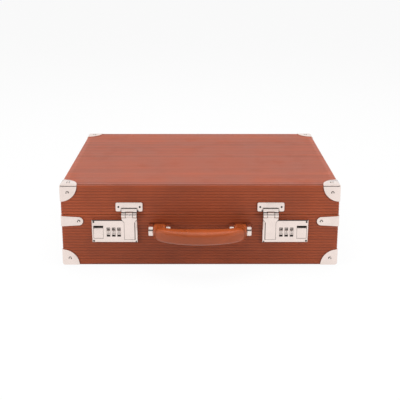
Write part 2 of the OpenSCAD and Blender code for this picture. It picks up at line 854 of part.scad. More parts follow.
// The triangles of a skin of rings, each of n points, closed at both ends
function skin_faces(rings, n) = concat(
    [for (r = [0:rings - 2], k = [0:n - 1])
        [r * n + k, (r + 1) * n + k, r * n + (k + 1) % n]],
    [for (r = [0:rings - 2], k = [0:n - 1])
        [r * n + (k + 1) % n, (r + 1) * n + k, (r + 1) * n + (k + 1) % n]],
    [for (k = [1:n - 2]) [0, k, k + 1]],
    [for (k = [1:n - 2]) let (e = (rings - 1) * n) [e, e + k + 1, e + k]]);

// The steel core's form: a bent strap with an eye at each end
module core_form() {
    half = core_t / 2;
    edge = [for (s = grip_path) s[0] + half * [s[1][1], -s[1][0]]];
    back_edge = [for (i = [len(grip_path) - 1:-1:0]) let (s = grip_path[i])
        s[0] - half * [s[1][1], -s[1][0]]];
    translate([0, handle_z + core_h / 2, 0]) rotate([90, 0, 0])
        linear_extrude(core_h) polygon(concat(edge, back_edge));
    for (s = [-1, 1])
        bar_x(s * handle_x - core_h / 2, s * handle_x + core_h / 2, handle_z,
            pivot_out, eye_r);
}

// The bores that the handle turns on
module handle_bores() {
    for (s = [-1, 1])
        bar_x(s * handle_x - grip_end_w, s * handle_x + grip_end_w, handle_z,
            pivot_out, pin_r + pin_play);
}

module handle_grip() {
    rings = [for (s = grip_path) grip_ring(s)];
    color(leather) on_front() difference() {
        union() {
            polyhedron([for (r = rings) each r], skin_faces(len(rings), grip_sides));
            for (s = [-1, 1])
                bar_x(s * handle_x - grip_end_w / 2, s * handle_x + grip_end_w / 2,
                    handle_z, pivot_out, drum_r);
        }
        core_form();
        handle_bores();
    }
}

module handle_core() {
    color(steel) on_front() difference() {
        core_form();
        handle_bores();
    }
}

// One leaf of the back hinge: its plate and every second knuckle. Drawn for
// the base; the lid's leaf is its mirror image with the other knuckles.
module hinge_leaf(first) {
    knuckle_play = 0.15;
    difference() {
        union() {
            translate([-hinge_len / 2, case_d / 2, part_z - leaf_h])
                cube([hinge_len, leaf_t, leaf_h - leaf_clear]);
            for (i = [first:2:hinge_count - 1]) {
                x0 = -hinge_len / 2 + i * hinge_step + knuckle_play;
                x1 = x0 + hinge_step - 2 * knuckle_play;
                span([x0, case_d / 2, part_z - leaf_clear - eps],
                    [x1, case_d / 2 + leaf_t, part_z]);
                bar_x(x0, x1, hinge_y, part_z, hinge_r);
            }
        }
        bar_x(-hinge_len / 2 - eps, hinge_len / 2 + eps, hinge_y, part_z,
            hinge_pin_r + pin_play);
    }
}

module hinge_leaf_base() {
    color(metal) hinge_leaf(0);
}

module hinge_leaf_lid() {
    color(metal) translate([0, 0, part_z]) mirror([0, 0, 1])
        translate([0, 0, -part_z]) hinge_leaf(1);
}

module hinge_pin() {
    color(steel) bar_x(-hinge_len / 2, hinge_len / 2, hinge_y, part_z, hinge_pin_r);
}

// The rivets of one leaf of the back hinge
module hinge_rivets(z) {
    n = floor(hinge_len / 2 / hinge_rivet_step);
    for (i = [-n:n])
        translate([i * hinge_rivet_step, case_d / 2 + leaf_t, z])
            rotate([-90, 0, 0]) dome(rivet_r, rivet_h);
}

module base_fasteners() {
    color(steel) {
        for (right = [false, true]) {
            for (back = [false, true])
                at_corner(right, back, false) corner_rivets(true);
            clip_rivets(right);
        }
        lock_screws();
        hinge_rivets(part_z - (leaf_h + leaf_clear) / 2);
    }
}

module lid_fasteners() {
    color(steel) {
        for (right = [false, true], back = [false, true])
            at_corner(right, back, true) corner_rivets(false);
        hasp_screws();
        hinge_rivets(part_z + (leaf_h + leaf_clear) / 2);
    }
}

// A lid stay's arm on the right side, upright as it is when the lid is shut
module stay(left) {
    top = part_z + stay_rise;
    r = stay_w / 2;
    color(steel) flip(left) translate([stay_x, 0, 0]) difference() {
        union() {
            span([0, stay_y - r, top - chord_open], [stay_t, stay_y + r, top]);
            bar_x(0, stay_t, stay_y, top, r);
            bar_x(0, stay_t, stay_y, top - chord_open, r);
        }
        bar_x(-eps, stay_t + eps, stay_y, top, stay_pin_r + pin_play);
        for (z = [top - chord_shut + slot_play, top - chord_open - slot_play])
            bar_x(-eps, stay_t + eps, stay_y, z, slot_r);
        span([-eps, stay_y - slot_r, top - chord_open - slot_play],
            [stay_t + eps, stay_y + slot_r, top - chord_shut + slot_play]);
    }
}

// A headed pin for each stay, from a wall at x, at height z
module stay_pin_pair(x, z) {
    color(steel) for (left = [false, true]) flip(left) {
        bar_x(stay_pin_x - stay_head_t, x, stay_y, z, stay_pin_r);
        bar_x(stay_pin_x - stay_head_t, stay_pin_x, stay_y, z, stay_head_r);
    }
}

module stay_keepers() {
    stay_pin_pair(rim_inner_x, part_z - stay_rise);
}

module stay_pivots() {
    stay_pin_pair(inner_w / 2, part_z + stay_rise);
}

module tray_floor() {
    color(board) span([-tray_x, tray_y0, inner_floor_z], [tray_x, tray_y1, divider_z]);
}

// The dividers that run across the case, slotted from above
module long_dividers() {
    color(suede) for (j = [0:cells_y]) {
        y = tray_y0 + j * cell_d;
        difference() {
            span([-tray_x, y, divider_z], [tray_x, y + divider_t, divider_z + divider_h]);
            for (i = [0:cells_x]) {
                x = -tray_x + i * cell_w;
                span([x - lap_gap, y - eps, divider_z + divider_h / 2],
                    [x + divider_t + lap_gap, y + divider_t + eps,
                        divider_z + divider_h + eps]);
            }
        }
    }
}

// The dividers that run front to back, slotted from below
module cross_dividers() {
    color(suede) for (i = [0:cells_x]) {
        x = -tray_x + i * cell_w;
        difference() {
            span([x, tray_y0, divider_z], [x + divider_t, tray_y1, divider_z + divider_h]);
            for (j = [0:cells_y]) {
                y = tray_y0 + j * cell_d;
                span([x - eps, y - lap_gap, divider_z - eps],
                    [x + divider_t + eps, y + divider_t + lap_gap,
                        divider_z + divider_h / 2 + lap_gap]);
            }
        }
    }
}

// A stuffed form of half sizes a, b, c about a middle: crowned above and
// below, its sides drawn in between the corners
function soft_corner(v) = sign(v) * pow(abs(v), 0.45);
function pillow_point(u, v, a, b, c) =
    let (s = pow(cos(v), 0.35) * (1 - 0.06 * pow(cos(2 * u), 2)))
    [a * s * soft_corner(cos(u)), b * s * soft_corner(sin(u)),
        c * sin(v) / sin(90 - 180 / cushion_rings)];

module pillow(size) {
    n = cushion_sides;
    rings = [for (j = [1:cushion_rings - 1]) let (v = -90 + j * 180 / cushion_rings)
        [for (k = [0:n - 1]) pillow_point(360 * (k + 0.5) / n, v,
            size[0] / 2, size[1] / 2, size[2] / 2)]];
    polyhedron([for (r = rings) each r], skin_faces(len(rings), n));
}

// One row of watch cushions, counted from the front
module cushion_row(j) {
    w = cell_w - divider_t - 2 * cushion_gap;
    d = cell_d - divider_t - 2 * cushion_gap;
    color(suede) for (i = [0:cells_x - 1])
        translate([-tray_x + divider_t / 2 + (i + 0.5) * cell_w,
                tray_y0 + divider_t / 2 + (j + 0.5) * cell_d,
                divider_z + cushion_lift + cushion_h / 2])
            pillow([w, d, cushion_h]);
}

module cushions_front() {
    cushion_row(0);
}

module cushions_middle() {
    cushion_row(1);
}

module cushions_back() {
    cushion_row(2);
}

module lid_pad() {
    color(suede) translate([0, 0, lid_ceiling_z - pad_t / 2])
        pillow([2 * pad_x, 2 * pad_y, pad_t]);
}

translate([0, case_y, 0]) {
    base_shell();
    base_cover();
    base_lining();
    base_rim();
    at_corner(false, false, false) corner_sheet();  // corner_base_front_left
    at_corner(true, false, false) corner_sheet();  // corner_base_front_right
    at_corner(false, true, false) corner_sheet();  // corner_base_back_left
    at_corner(true, true, false) corner_sheet();  // corner_base_back_right
    side_clip(false);  // side_clip_left
    side_clip(true);  // side_clip_right
    base_fasteners();
    lock_plate(true);  // lock_plate_left
    lock_plate(false);  // lock_plate_right
    lock_case(true);  // lock_case_left
    lock_case(false);  // lock_case_right
    dial_shafts();
    dial(true, 2);  // dial_left_1
    dial(true, 1);  // dial_left_2
    dial(true, 0);  // dial_left_3
    dial(false, 0);  // dial_right_1
    dial(false, 1);  // dial_right_2
    dial(false, 2);  // dial_right_3
    slider(true);  // slider_left
    slider(false);  // slider_right
    slider_spring(true);  // slider_spring_left
    slider_spring(false);  // slider_spring_right
    handle_bracket(true);  // handle_bracket_left
    handle_bracket(false);  // handle_bracket_right
    handle_pins();
    handle_grip();
    handle_core();
    tray_floor();
    long_dividers();
    cross_dividers();
    cushions_front();
    cushions_middle();
    cushions_back();
    hinge_leaf_base();
    hinge_leaf_lid();
    hinge_pin();
    stay_keepers();
    lid_shell();
    lid_cover();
    lid_lining();
    lid_pad();
    at_corner(false, false, true) corner_sheet();  // corner_lid_front_left
    at_corner(true, false, true) corner_sheet();  // corner_lid_front_right
    at_corner(false, true, true) corner_sheet();  // corner_lid_back_left
    at_corner(true, true, true) corner_sheet();  // corner_lid_back_right
    lid_fasteners();
    hasp_plate(true);  // hasp_plate_left
    hasp_plate(false);  // hasp_plate_right
    hasp(true);  // hasp_left
    hasp(false);  // hasp_right
    hasp_pins();
    stay(true);  // stay_left
    stay(false);  // stay_right
    stay_pivots();
}
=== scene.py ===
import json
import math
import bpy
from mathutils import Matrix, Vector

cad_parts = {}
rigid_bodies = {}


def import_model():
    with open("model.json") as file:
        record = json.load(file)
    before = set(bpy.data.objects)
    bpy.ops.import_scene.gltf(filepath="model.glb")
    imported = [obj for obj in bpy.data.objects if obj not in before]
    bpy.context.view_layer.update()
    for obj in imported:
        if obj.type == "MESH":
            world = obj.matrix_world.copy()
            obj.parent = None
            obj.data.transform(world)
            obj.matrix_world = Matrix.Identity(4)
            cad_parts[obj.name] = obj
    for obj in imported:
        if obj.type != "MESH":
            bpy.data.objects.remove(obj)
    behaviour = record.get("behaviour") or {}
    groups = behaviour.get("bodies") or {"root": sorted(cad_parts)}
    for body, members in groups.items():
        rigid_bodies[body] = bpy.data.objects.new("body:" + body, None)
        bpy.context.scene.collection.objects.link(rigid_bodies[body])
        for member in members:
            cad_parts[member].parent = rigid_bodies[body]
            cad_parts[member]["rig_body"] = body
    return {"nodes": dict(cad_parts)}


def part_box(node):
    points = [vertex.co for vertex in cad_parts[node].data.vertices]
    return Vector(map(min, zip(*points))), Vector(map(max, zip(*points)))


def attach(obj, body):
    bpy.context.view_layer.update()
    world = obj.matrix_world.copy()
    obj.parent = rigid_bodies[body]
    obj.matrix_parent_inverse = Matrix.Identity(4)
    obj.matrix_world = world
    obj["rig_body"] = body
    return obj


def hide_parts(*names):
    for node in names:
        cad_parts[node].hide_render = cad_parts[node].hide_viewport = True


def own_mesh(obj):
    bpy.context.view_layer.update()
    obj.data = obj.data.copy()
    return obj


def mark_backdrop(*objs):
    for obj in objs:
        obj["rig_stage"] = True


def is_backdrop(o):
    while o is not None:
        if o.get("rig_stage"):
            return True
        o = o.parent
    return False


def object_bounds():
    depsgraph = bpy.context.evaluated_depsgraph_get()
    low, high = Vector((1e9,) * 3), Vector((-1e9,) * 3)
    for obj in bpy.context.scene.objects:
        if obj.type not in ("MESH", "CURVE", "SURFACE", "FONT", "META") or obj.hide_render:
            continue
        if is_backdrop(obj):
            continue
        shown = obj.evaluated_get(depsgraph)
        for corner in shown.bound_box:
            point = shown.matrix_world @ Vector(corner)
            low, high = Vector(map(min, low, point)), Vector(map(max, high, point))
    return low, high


bl_info = {
    "name": "Watch Briefcase",
    "version": (1, 0, 0),
    "blender": (4, 5, 0),
    "location": "View3D > Sidebar > Briefcase",
    "description": "Dresses the watch briefcase in ribbed leather, nickel and suede",
    "category": "Object",
}

import bmesh
import bpy
from bpy.props import FloatProperty, FloatVectorProperty, IntProperty, PointerProperty
from mathutils import Matrix, Vector, noise

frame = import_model()
NODES = frame["nodes"]
SIDES = ("left", "right")


def corners(node):
    """Lowest and highest corner of a CAD node."""
    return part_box(node)


# Places that the frame gives
BASE_LOW, BASE_HIGH = corners("base_cover")
LID_LOW, LID_HIGH = corners("lid_cover")
CASE_W = BASE_HIGH.x - BASE_LOW.x
CASE_D = BASE_HIGH.y - BASE_LOW.y
MIDDLE_Y = (BASE_LOW.y + BASE_HIGH.y) / 2


class LeatherSettings(bpy.types.PropertyGroup):
    rib_pitch: FloatProperty(
        name="Rib pitch", description="Distance from one rib of the leather to the next",
        default=0.0046, unit="LENGTH")
    rib_depth: FloatProperty(
        name="Rib depth", description="Height of a rib over the grooves beside it",
        default=0.00042, unit="LENGTH")
    skin: FloatProperty(
        name="Skin", description="Thickness of the leather cover", default=0.001, unit="LENGTH")
    edge: FloatProperty(
        name="Edge", description="Radius of the rolled edges", default=0.003, unit="LENGTH")
    colour: FloatVectorProperty(
        name="Leather", description="Colour of the case's leather", subtype="COLOR",
        size=3, default=(0.272, 0.051, 0.0145))
    # Groove colour: painted shade that the grooves, creases and edges are darkened towards; the
    # streaks and the grain's specks use it too
    groove: FloatVectorProperty(
        name="Groove", description="Colour of the leather deep in its grooves", subtype="COLOR",
        size=3, default=(0.12, 0.021, 0.0065))
    grip: FloatVectorProperty(
        name="Grip", description="Colour of the smooth leather of the grip", subtype="COLOR",
        size=3, default=(0.265, 0.052, 0.0125))


class MetalSettings(bpy.types.PropertyGroup):
    edge: FloatProperty(
        name="Edge", description="Width of the softened edges of the metal parts",
        default=0.00025, unit="LENGTH")
    nickel: FloatVectorProperty(
        name="Nickel", description="Colour of the polished nickel", subtype="COLOR",
        size=3, default=(0.88, 0.755, 0.70))
    steel: FloatVectorProperty(
        name="Steel", description="Colour of the plain steel parts", subtype="COLOR",
        size=3, default=(0.52, 0.49, 0.47))
    digit: FloatProperty(
        name="Number height", description="Height of the numbers on the dials",
        default=0.0037, unit="LENGTH")
    marks: IntProperty(
        name="Numbers", description="Count of the numbers on a dial", default=10)


class LiningSettings(bpy.types.PropertyGroup):
    suede: FloatVectorProperty(
        name="Suede", description="Colour of the suede lining", subtype="COLOR",
        size=3, default=(0.42, 0.29, 0.19))
    cushion: FloatVectorProperty(
        name="Cushion", description="Colour of the cushions and the lid's pad", subtype="COLOR",
        size=3, default=(0.50, 0.37, 0.26))
    board: FloatVectorProperty(
        name="Board", description="Colour of the bare board", subtype="COLOR",
        size=3, default=(0.40, 0.25, 0.13))
    voxel: FloatProperty(
        name="Voxel", description="Mesh size that a cushion is simulated at",
        default=0.004, unit="LENGTH")
    swell: FloatProperty(
        name="Swell", description="Furthest that a cushion's cloth may move", default=0.006,
        unit="LENGTH")


class StageSettings(bpy.types.PropertyGroup):
    floor: FloatVectorProperty(
        name="Floor", description="Colour of the floor", subtype="COLOR",
        size=3, default=(0.6, 0.6, 0.6))
    ambient: FloatProperty(
        name="Ambient", description="Strength of the light from all round", default=0.39)
    top_lamp: FloatProperty(
        name="Top lamp", description="Power of the broad lamp overhead", default=44.0)
    strip_lamp: FloatProperty(
        name="Strip lamp", description="Power of the strip lamp over the camera", default=1.6)
    side_lamp: FloatProperty(
        name="Side lamps", description="Power of the two lamps in front", default=2.8)
    lens: FloatProperty(
        name="Lens", description="Focal length of the camera, in millimetres", default=66.61)


def put(tree, value, socket):
    """Sets an input to a plain value or a colour, or links it where a socket is given."""
    if isinstance(value, bpy.types.NodeSocket):
        tree.links.new(value, socket)
    elif isinstance(value, tuple) and len(socket.default_value) == 4:
        socket.default_value = (*value, 1.0)
    else:
        socket.default_value = value


def feed(tree, node, **inputs):
    """Puts values or sockets into the inputs of a node; a low line stands for a blank."""
    for label, value in inputs.items():
        put(tree, value, node.inputs[label.replace("_", " ")])


def add_node(tree, kind, **inputs):
    """A new shader node with its inputs fed."""
    node = tree.nodes.new(kind)
    feed(tree, node, **inputs)
    return node


def new_group(name, scales, results):
    """A node group that takes a vector and scales and gives values, with its two end nodes."""
    group = bpy.data.node_groups.new(name, "ShaderNodeTree")
    group.interface.new_socket("Vector", in_out="INPUT", socket_type="NodeSocketVector")
    for label, value in scales.items():
        socket = group.interface.new_socket(label, in_out="INPUT", socket_type="NodeSocketFloat")
        socket.default_value = value
    for label in results:
        group.interface.new_socket(label, in_out="OUTPUT", socket_type="NodeSocketFloat")
    return group, group.nodes.new("NodeGroupInput").outputs, group.nodes.new("NodeGroupOutput")


def math_node(tree, operation, a, b, clamp=False):
    """A Math node; gives its output."""
    node = tree.nodes.new("ShaderNodeMath")
    node.operation = operation
    node.use_clamp = clamp
    put(tree, a, node.inputs[0])
    put(tree, b, node.inputs[1])
    return node.outputs[0]


def noise_node(tree, coords, scale, detail=2.0, roughness=0.5):
    """A noise texture; gives its value."""
    return add_node(tree, "ShaderNodeTexNoise", Vector=coords, Scale=scale, Detail=detail,
                    Roughness=roughness).outputs["Fac"]


def range_node(tree, value, low, high, to_low=0.0, to_high=1.0):
    """A value stretched from one range to another."""
    return add_node(tree, "ShaderNodeMapRange", Value=value, From_Min=low, From_Max=high,
                    To_Min=to_low, To_Max=to_high).outputs["Result"]


# Where a Mix node for colours has its factor, its two colours and its result
MIX_INPUTS, MIX_RESULT = (0, 6, 7), 2


def mix_colour(tree, factor, a, b):
    """Two colours mixed by a factor."""
    node = tree.nodes.new("ShaderNodeMix")
    node.data_type = "RGBA"
    for k, value in zip(MIX_INPUTS, (factor, a, b)):
        put(tree, value, node.inputs[k])
    return node.outputs[MIX_RESULT]


def shade(colour, factor):
    """A colour made darker or lighter."""
    return tuple(min(1.0, c * factor) for c in colour)


def grain_group():
    """Fine pebbled grain and slow clouding, for leather and suede."""
    found = bpy.data.node_groups.get("Grain")
    if found:
        return found
    group, given, result = new_group(
        "Grain", {"Scale": 900.0, "Cloud Scale": 14.0}, ("Height", "Cloud", "Fine"))
    cells = group.nodes.new("ShaderNodeTexVoronoi")
    cells.feature = "DISTANCE_TO_EDGE"
    feed(group, cells, Vector=given["Vector"], Scale=given["Scale"])
    pebble = range_node(group, cells.outputs["Distance"], 0.0, 0.35)
    fine = noise_node(group, given["Vector"], given["Scale"], 3.0, 0.6)
    cloud = noise_node(group, given["Vector"], given["Cloud Scale"], 3.0, 0.55)
    feed(group, result,
         Height=math_node(group, "ADD", pebble, math_node(group, "MULTIPLY", fine, 0.6)),
         Cloud=range_node(group, cloud, 0.32, 0.68), Fine=fine)
    return group


def wear_group():
    """Soft scuffs: patches of fine streaks, for metal and leather."""
    found = bpy.data.node_groups.get("Scuffs")
    if found:
        return found
    group, given, result = new_group(
        "Scuffs", {"Patch Scale": 30.0, "Fine Scale": 900.0}, ("Scuff", "Smudge"))
    patch = noise_node(group, given["Vector"], given["Patch Scale"], 4.0, 0.6)
    fine = noise_node(group, given["Vector"], given["Fine Scale"], 2.0, 0.7)
    spots = range_node(group, patch, 0.52, 0.75)
    feed(group, result, Scuff=math_node(group, "MULTIPLY", spots, fine, clamp=True),
         Smudge=range_node(group, patch, 0.3, 0.7))
    return group


def made_once(build):
    """Makes a material once; later calls find it by its name."""
    def find_or_build(name, *values, **named):
        return bpy.data.materials.get(name) or build(name, *values, **named)
    return find_or_build


def new_material(name):
    """An empty Principled material, its tree, its shader and its coordinates."""
    material = bpy.data.materials.new(name)
    material.use_nodes = True
    tree = material.node_tree
    coords = tree.nodes.new("ShaderNodeTexCoord").outputs
    return material, tree, tree.nodes["Principled BSDF"], coords


def place_group(tree, group, vector, **values):
    """A node group placed in a tree with its own values; gives its outputs."""
    node = tree.nodes.new("ShaderNodeGroup")
    node.node_tree = group
    feed(tree, node, Vector=vector, **values)
    return node.outputs


def bump_node(tree, height, strength, distance):
    """The normal of a surface bumped by a height."""
    return add_node(tree, "ShaderNodeBump", Height=height, Strength=strength,
                    Distance=distance).outputs["Normal"]


def worn_roughness(tree, mask, rough, spread, scuff, wear):
    """Roughness that a mask varies and scuffs raise."""
    varied = range_node(tree, mask, 0.0, 1.0, rough - spread, rough + spread)
    return math_node(tree, "ADD", varied, math_node(tree, "MULTIPLY", scuff, wear), clamp=True)


@made_once
def leather_material(name, colour, groove, grain_scale, bump, rough, streaks=0.0, gloss=0.42,
                     bloom=0.0):
    """Waxed leather: clouded colour, painted shade in streaks along the ribs and in the grooves,
    grain and worn crests.
    """
    material, tree, shader, coords = new_material(name)
    place = coords["Object"]
    grain = place_group(tree, grain_group(), place, Scale=grain_scale, Cloud_Scale=16.0)
    scuffs = place_group(tree, wear_group(), place, Patch_Scale=22.0, Fine_Scale=700.0)
    clouded = mix_colour(tree, grain["Cloud"], shade(colour, 0.86), shade(colour, 1.14))
    # Streaks: painted shade of the ripples along the ribs, strongest on faces turned up
    if streaks:
        along = add_node(tree, "ShaderNodeMapping", Vector=place, Scale=STREAK_SCALE)
        streak = noise_node(tree, along.outputs["Vector"], 1.0, 3.0, 0.6)
        facing = add_node(tree, "ShaderNodeSeparateXYZ", Vector=coords["Normal"])
        upward = range_node(
            tree, facing.outputs["Z"], 0.5, 0.9, streaks * SIDE_STREAKS, streaks)
        streak = math_node(tree, "MULTIPLY", range_node(tree, streak, 0.36, 0.66), upward)
        clouded = mix_colour(tree, streak, clouded, groove)
    # The groove attribute: painted shade in grooves, creases and edges, and the grip's dark seam
    depth = tree.nodes.new("ShaderNodeAttribute")
    depth.attribute_name = "groove"
    shaded = mix_colour(tree, depth.outputs["Fac"], clouded, groove)
    specks = range_node(tree, grain["Fine"], 0.35, 0.7, 0.0, 0.16)
    feed(tree, shader, Base_Color=mix_colour(tree, specks, shaded, groove),
         Roughness=worn_roughness(tree, grain["Cloud"], rough, 0.04, scuffs["Scuff"], 0.18),
         Specular_IOR_Level=gloss, Sheen_Weight=bloom, Sheen_Roughness=0.45,
         Normal=bump_node(tree, grain["Height"], bump, 0.00012))
    return material


# Streaks of painted shade run along the ribs, long in X and short across them, and are weaker on
# upright sides
STREAK_SCALE = (0.7, 150.0, 150.0)
SIDE_STREAKS = 0.25


@made_once
def metal_material(name, colour, rough, spread):
    """Polished metal with faint smudges, scuffs and hairlines."""
    material, tree, shader, coords = new_material(name)
    scuffs = place_group(
        tree, wear_group(), coords["Object"], Patch_Scale=45.0, Fine_Scale=1500.0)
    feed(tree, shader, Metallic=1.0,
         Base_Color=mix_colour(tree, scuffs["Smudge"], colour, shade(colour, 0.93)),
         Roughness=worn_roughness(tree, scuffs["Smudge"], rough, spread, scuffs["Scuff"], 0.2),
         Normal=bump_node(tree, scuffs["Scuff"], 0.12, 0.00005))
    return material


@made_once
def suede_material(name, colour, nap):
    """Brushed suede: a napped, clouded surface with a soft sheen."""
    material, tree, shader, coords = new_material(name)
    grain = place_group(tree, grain_group(), coords["Object"], Scale=1400.0, Cloud_Scale=34.0)
    darker = shade(colour, 0.8)
    brushed = mix_colour(tree, grain["Cloud"], darker, shade(colour, 1.18))
    specks = range_node(tree, grain["Fine"], 0.3, 0.7, 0.0, 0.3)
    feed(tree, shader, Base_Color=mix_colour(tree, specks, brushed, darker),
         Roughness=range_node(tree, grain["Cloud"], 0.0, 1.0, 0.86, 0.95),
         Sheen_Weight=nap, Sheen_Roughness=0.4, Specular_IOR_Level=0.2,
         Normal=bump_node(tree, grain["Height"], 0.5, 0.00015))
    return material


@made_once
def board_material(name, colour):
    """Plain wood board with drawn-out grain."""
    material, tree, shader, coords = new_material(name)
    stretch = add_node(tree, "ShaderNodeMapping", Vector=coords["Object"], Scale=BOARD_SCALE)
    streaks = noise_node(tree, stretch.outputs["Vector"], 2.5, 5.0, 0.6)
    bands = range_node(tree, streaks, 0.3, 0.7)
    feed(tree, shader, Base_Color=mix_colour(tree, bands, colour, shade(colour, 0.62)),
         Roughness=range_node(tree, streaks, 0.3, 0.7, 0.5, 0.68),
         Normal=bump_node(tree, streaks, 0.25, 0.0002))
    return material


# The board's grain runs along X
BOARD_SCALE = (4.0, 60.0, 60.0)


@made_once
def ink_material(name):
    """Dark paint of the dials' numbers."""
    material, tree, shader, coords = new_material(name)
    fine = noise_node(tree, coords["Object"], 2500.0)
    feed(tree, shader, Base_Color=mix_colour(tree, fine, *INK_COLOURS),
         Roughness=range_node(tree, fine, 0.3, 0.7, 0.45, 0.6))
    return material


INK_COLOURS = ((0.012, 0.011, 0.010), (0.035, 0.031, 0.028))


def case_leather():
    s = bpy.context.scene.briefcase_leather
    return leather_material("case_leather", tuple(s.colour), tuple(s.groove), grain_scale=1100.0,
                            bump=0.30, rough=0.47, streaks=0.8, gloss=0.3, bloom=0.07)


def grip_leather():
    s = bpy.context.scene.briefcase_leather
    return leather_material("grip_leather", tuple(s.grip), shade(s.grip, SEAM_SHADE),
                            grain_scale=1500.0, bump=0.14, rough=0.3)


def nickel():
    s = bpy.context.scene.briefcase_metal
    return metal_material("polished_nickel", tuple(s.nickel), rough=0.2, spread=0.05)


def steel():
    s = bpy.context.scene.briefcase_metal
    return metal_material("plain_steel", tuple(s.steel), rough=0.34, spread=0.06)


def screw_steel():
    s = bpy.context.scene.briefcase_metal
    return metal_material("screw_steel", shade(s.steel, SCREW_SHADE), rough=0.3, spread=0.06)


def recess():
    """Painted shade: dark metal deep in gaps, slots, holes and the lock cases."""
    return metal_material("dark_recess", RECESS_SHADE_COLOUR, rough=0.55, spread=0.08)


SEAM_SHADE = 0.45
SCREW_SHADE = 0.5
# Colour of the painted shade in gaps, slots, holes and the lock cases
RECESS_SHADE_COLOUR = (0.045, 0.036, 0.032)


def suede():
    s = bpy.context.scene.briefcase_lining
    return suede_material("suede_lining", tuple(s.suede), nap=0.35)


def cushion_suede():
    s = bpy.context.scene.briefcase_lining
    return suede_material("cushion_suede", tuple(s.cushion), nap=0.45)


def board():
    s = bpy.context.scene.briefcase_lining
    return board_material("bare_board", tuple(s.board))


def mesh_from(bm, name):
    """Turns a bmesh into a mesh and frees it."""
    mesh = bpy.data.meshes.new(name)
    bm.to_mesh(mesh)
    bm.free()
    return mesh


def place_object(name, data):
    """A new object in the scene."""
    thing = bpy.data.objects.new(name, data)
    bpy.context.scene.collection.objects.link(thing)
    return thing


def finish_piece(bm, node, ending, materials, smooth=40.0):
    """Turns a bmesh into the piece that stands for a CAD node and rides on its body."""
    name = f"{node}_{ending}"
    mesh = mesh_from(bm, name)
    mesh.polygons.foreach_set("use_smooth", [True] * len(mesh.polygons))
    mesh.set_sharp_from_angle(angle=math.radians(smooth))
    for material in materials:
        mesh.materials.append(material)
    piece = place_object(name, mesh)
    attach(piece, NODES[node]["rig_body"])
    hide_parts(node)
    return piece


def paint_node(node, material):
    """Gives a carried-over CAD node its material."""
    slots = NODES[node].data.materials
    slots.clear()
    slots.append(material)


def merged_copy(node):
    """A bmesh of a CAD node with its loose triangles joined up."""
    bm = bmesh.new()
    bm.from_mesh(NODES[node].data)
    bmesh.ops.remove_doubles(bm, verts=bm.verts, dist=SAME_PLACE)
    return bm


# Vertices nearer than this are one
SAME_PLACE = 1e-6


def add_mesh(bm, mesh):
    """Adds a mesh to a bmesh; gives the new vertices, which needn't be the last ones."""
    before = set(bm.verts)
    bm.from_mesh(mesh)
    return [v for v in bm.verts if v not in before]


def roll_over(bm, geom, width, segments, affect="EDGES", clamped=False):
    """Rounds edges or corners over."""
    bmesh.ops.bevel(
        bm, geom=geom, affect=affect, offset=width, offset_type="OFFSET", segments=segments,
        profile=0.5, material=-1, clamp_overlap=clamped)


def cut(bm, point, normal, faces=None):
    """Cuts a whole mesh, or some of its faces, along a plane."""
    if faces is None:
        geom = list(bm.verts) + list(bm.edges) + list(bm.faces)
    else:
        edges = set(e for f in faces for e in f.edges)
        verts = set(v for f in faces for v in f.verts)
        geom = faces + list(edges) + list(verts)
    bmesh.ops.bisect_plane(bm, geom=geom, plane_co=point, plane_no=normal)


def soften(node, material, width=None, segments=2):
    """A copy of a CAD node with its sharp edges rolled over, standing for the node."""
    if width is None:
        width = bpy.context.scene.briefcase_metal.edge
    bm = merged_copy(node)
    bmesh.ops.dissolve_limit(bm, angle_limit=math.radians(FLAT_ANGLE), verts=bm.verts,
                             edges=bm.edges, delimit=set())
    sharp = [e for e in bm.edges
             if len(e.link_faces) == 2 and e.calc_face_angle(0.0) > math.radians(SHARP_ANGLE)]
    roll_over(bm, sharp, width, segments, clamped=True)
    return finish_piece(bm, node, "finished", [material])


# Faces that turn less than the first, in degrees, are one; edges past the second are rolled
FLAT_ANGLE = 0.5
SHARP_ANGLE = 30.0


def darken(piece, test):
    """Gives the faces that pass a test the dark recess material, painted shade."""
    piece.data.materials.append(recess())
    index = len(piece.data.materials) - 1
    for face in piece.data.polygons:
        if test(face.center, face.normal):
            face.material_index = index


def islands(node):
    """Lowest and highest corner of each loose part of a CAD node."""
    bm = merged_copy(node)
    seen, found = set(), []
    for start in bm.verts:
        if start in seen:
            continue
        seen.add(start)
        part, edge = [], [start]
        while edge:
            v = edge.pop()
            part.append(v.co.copy())
            for e in v.link_edges:
                other = e.other_vert(v)
                if other not in seen:
                    seen.add(other)
                    edge.append(other)
        found.append((Vector(min(c[k] for c in part) for k in range(3)),
                      Vector(max(c[k] for c in part) for k in range(3))))
    bm.free()
    return found


def lathe(bm, profile, steps):
    """Spins a profile of (radius, height) points round Z and closes it."""
    points = [bm.verts.new((r, 0.0, h)) for r, h in profile]
    edges = [bm.edges.new(pair) for pair in zip(points, points[1:])]
    bmesh.ops.spin(
        bm, geom=points + edges, cent=(0, 0, 0), axis=(0, 0, 1), angle=2 * math.pi,
        steps=steps, use_merge=True, use_duplicate=False)
    bmesh.ops.remove_doubles(bm, verts=list(bm.verts), dist=SAME_PLACE)


def dome_profile(r, h):
    """Profile of a domed head, from its rim to its middle."""
    ball = (r * r + h * h) / (2 * h)
    points = [(r, -HEAD_SUNK), (r, 0.0)]
    for k in range(1, DOME_STEPS + 1):
        x = r * (1 - k / DOME_STEPS)
        points.append((x, h - ball + math.sqrt(ball * ball - x * x)))
    return points


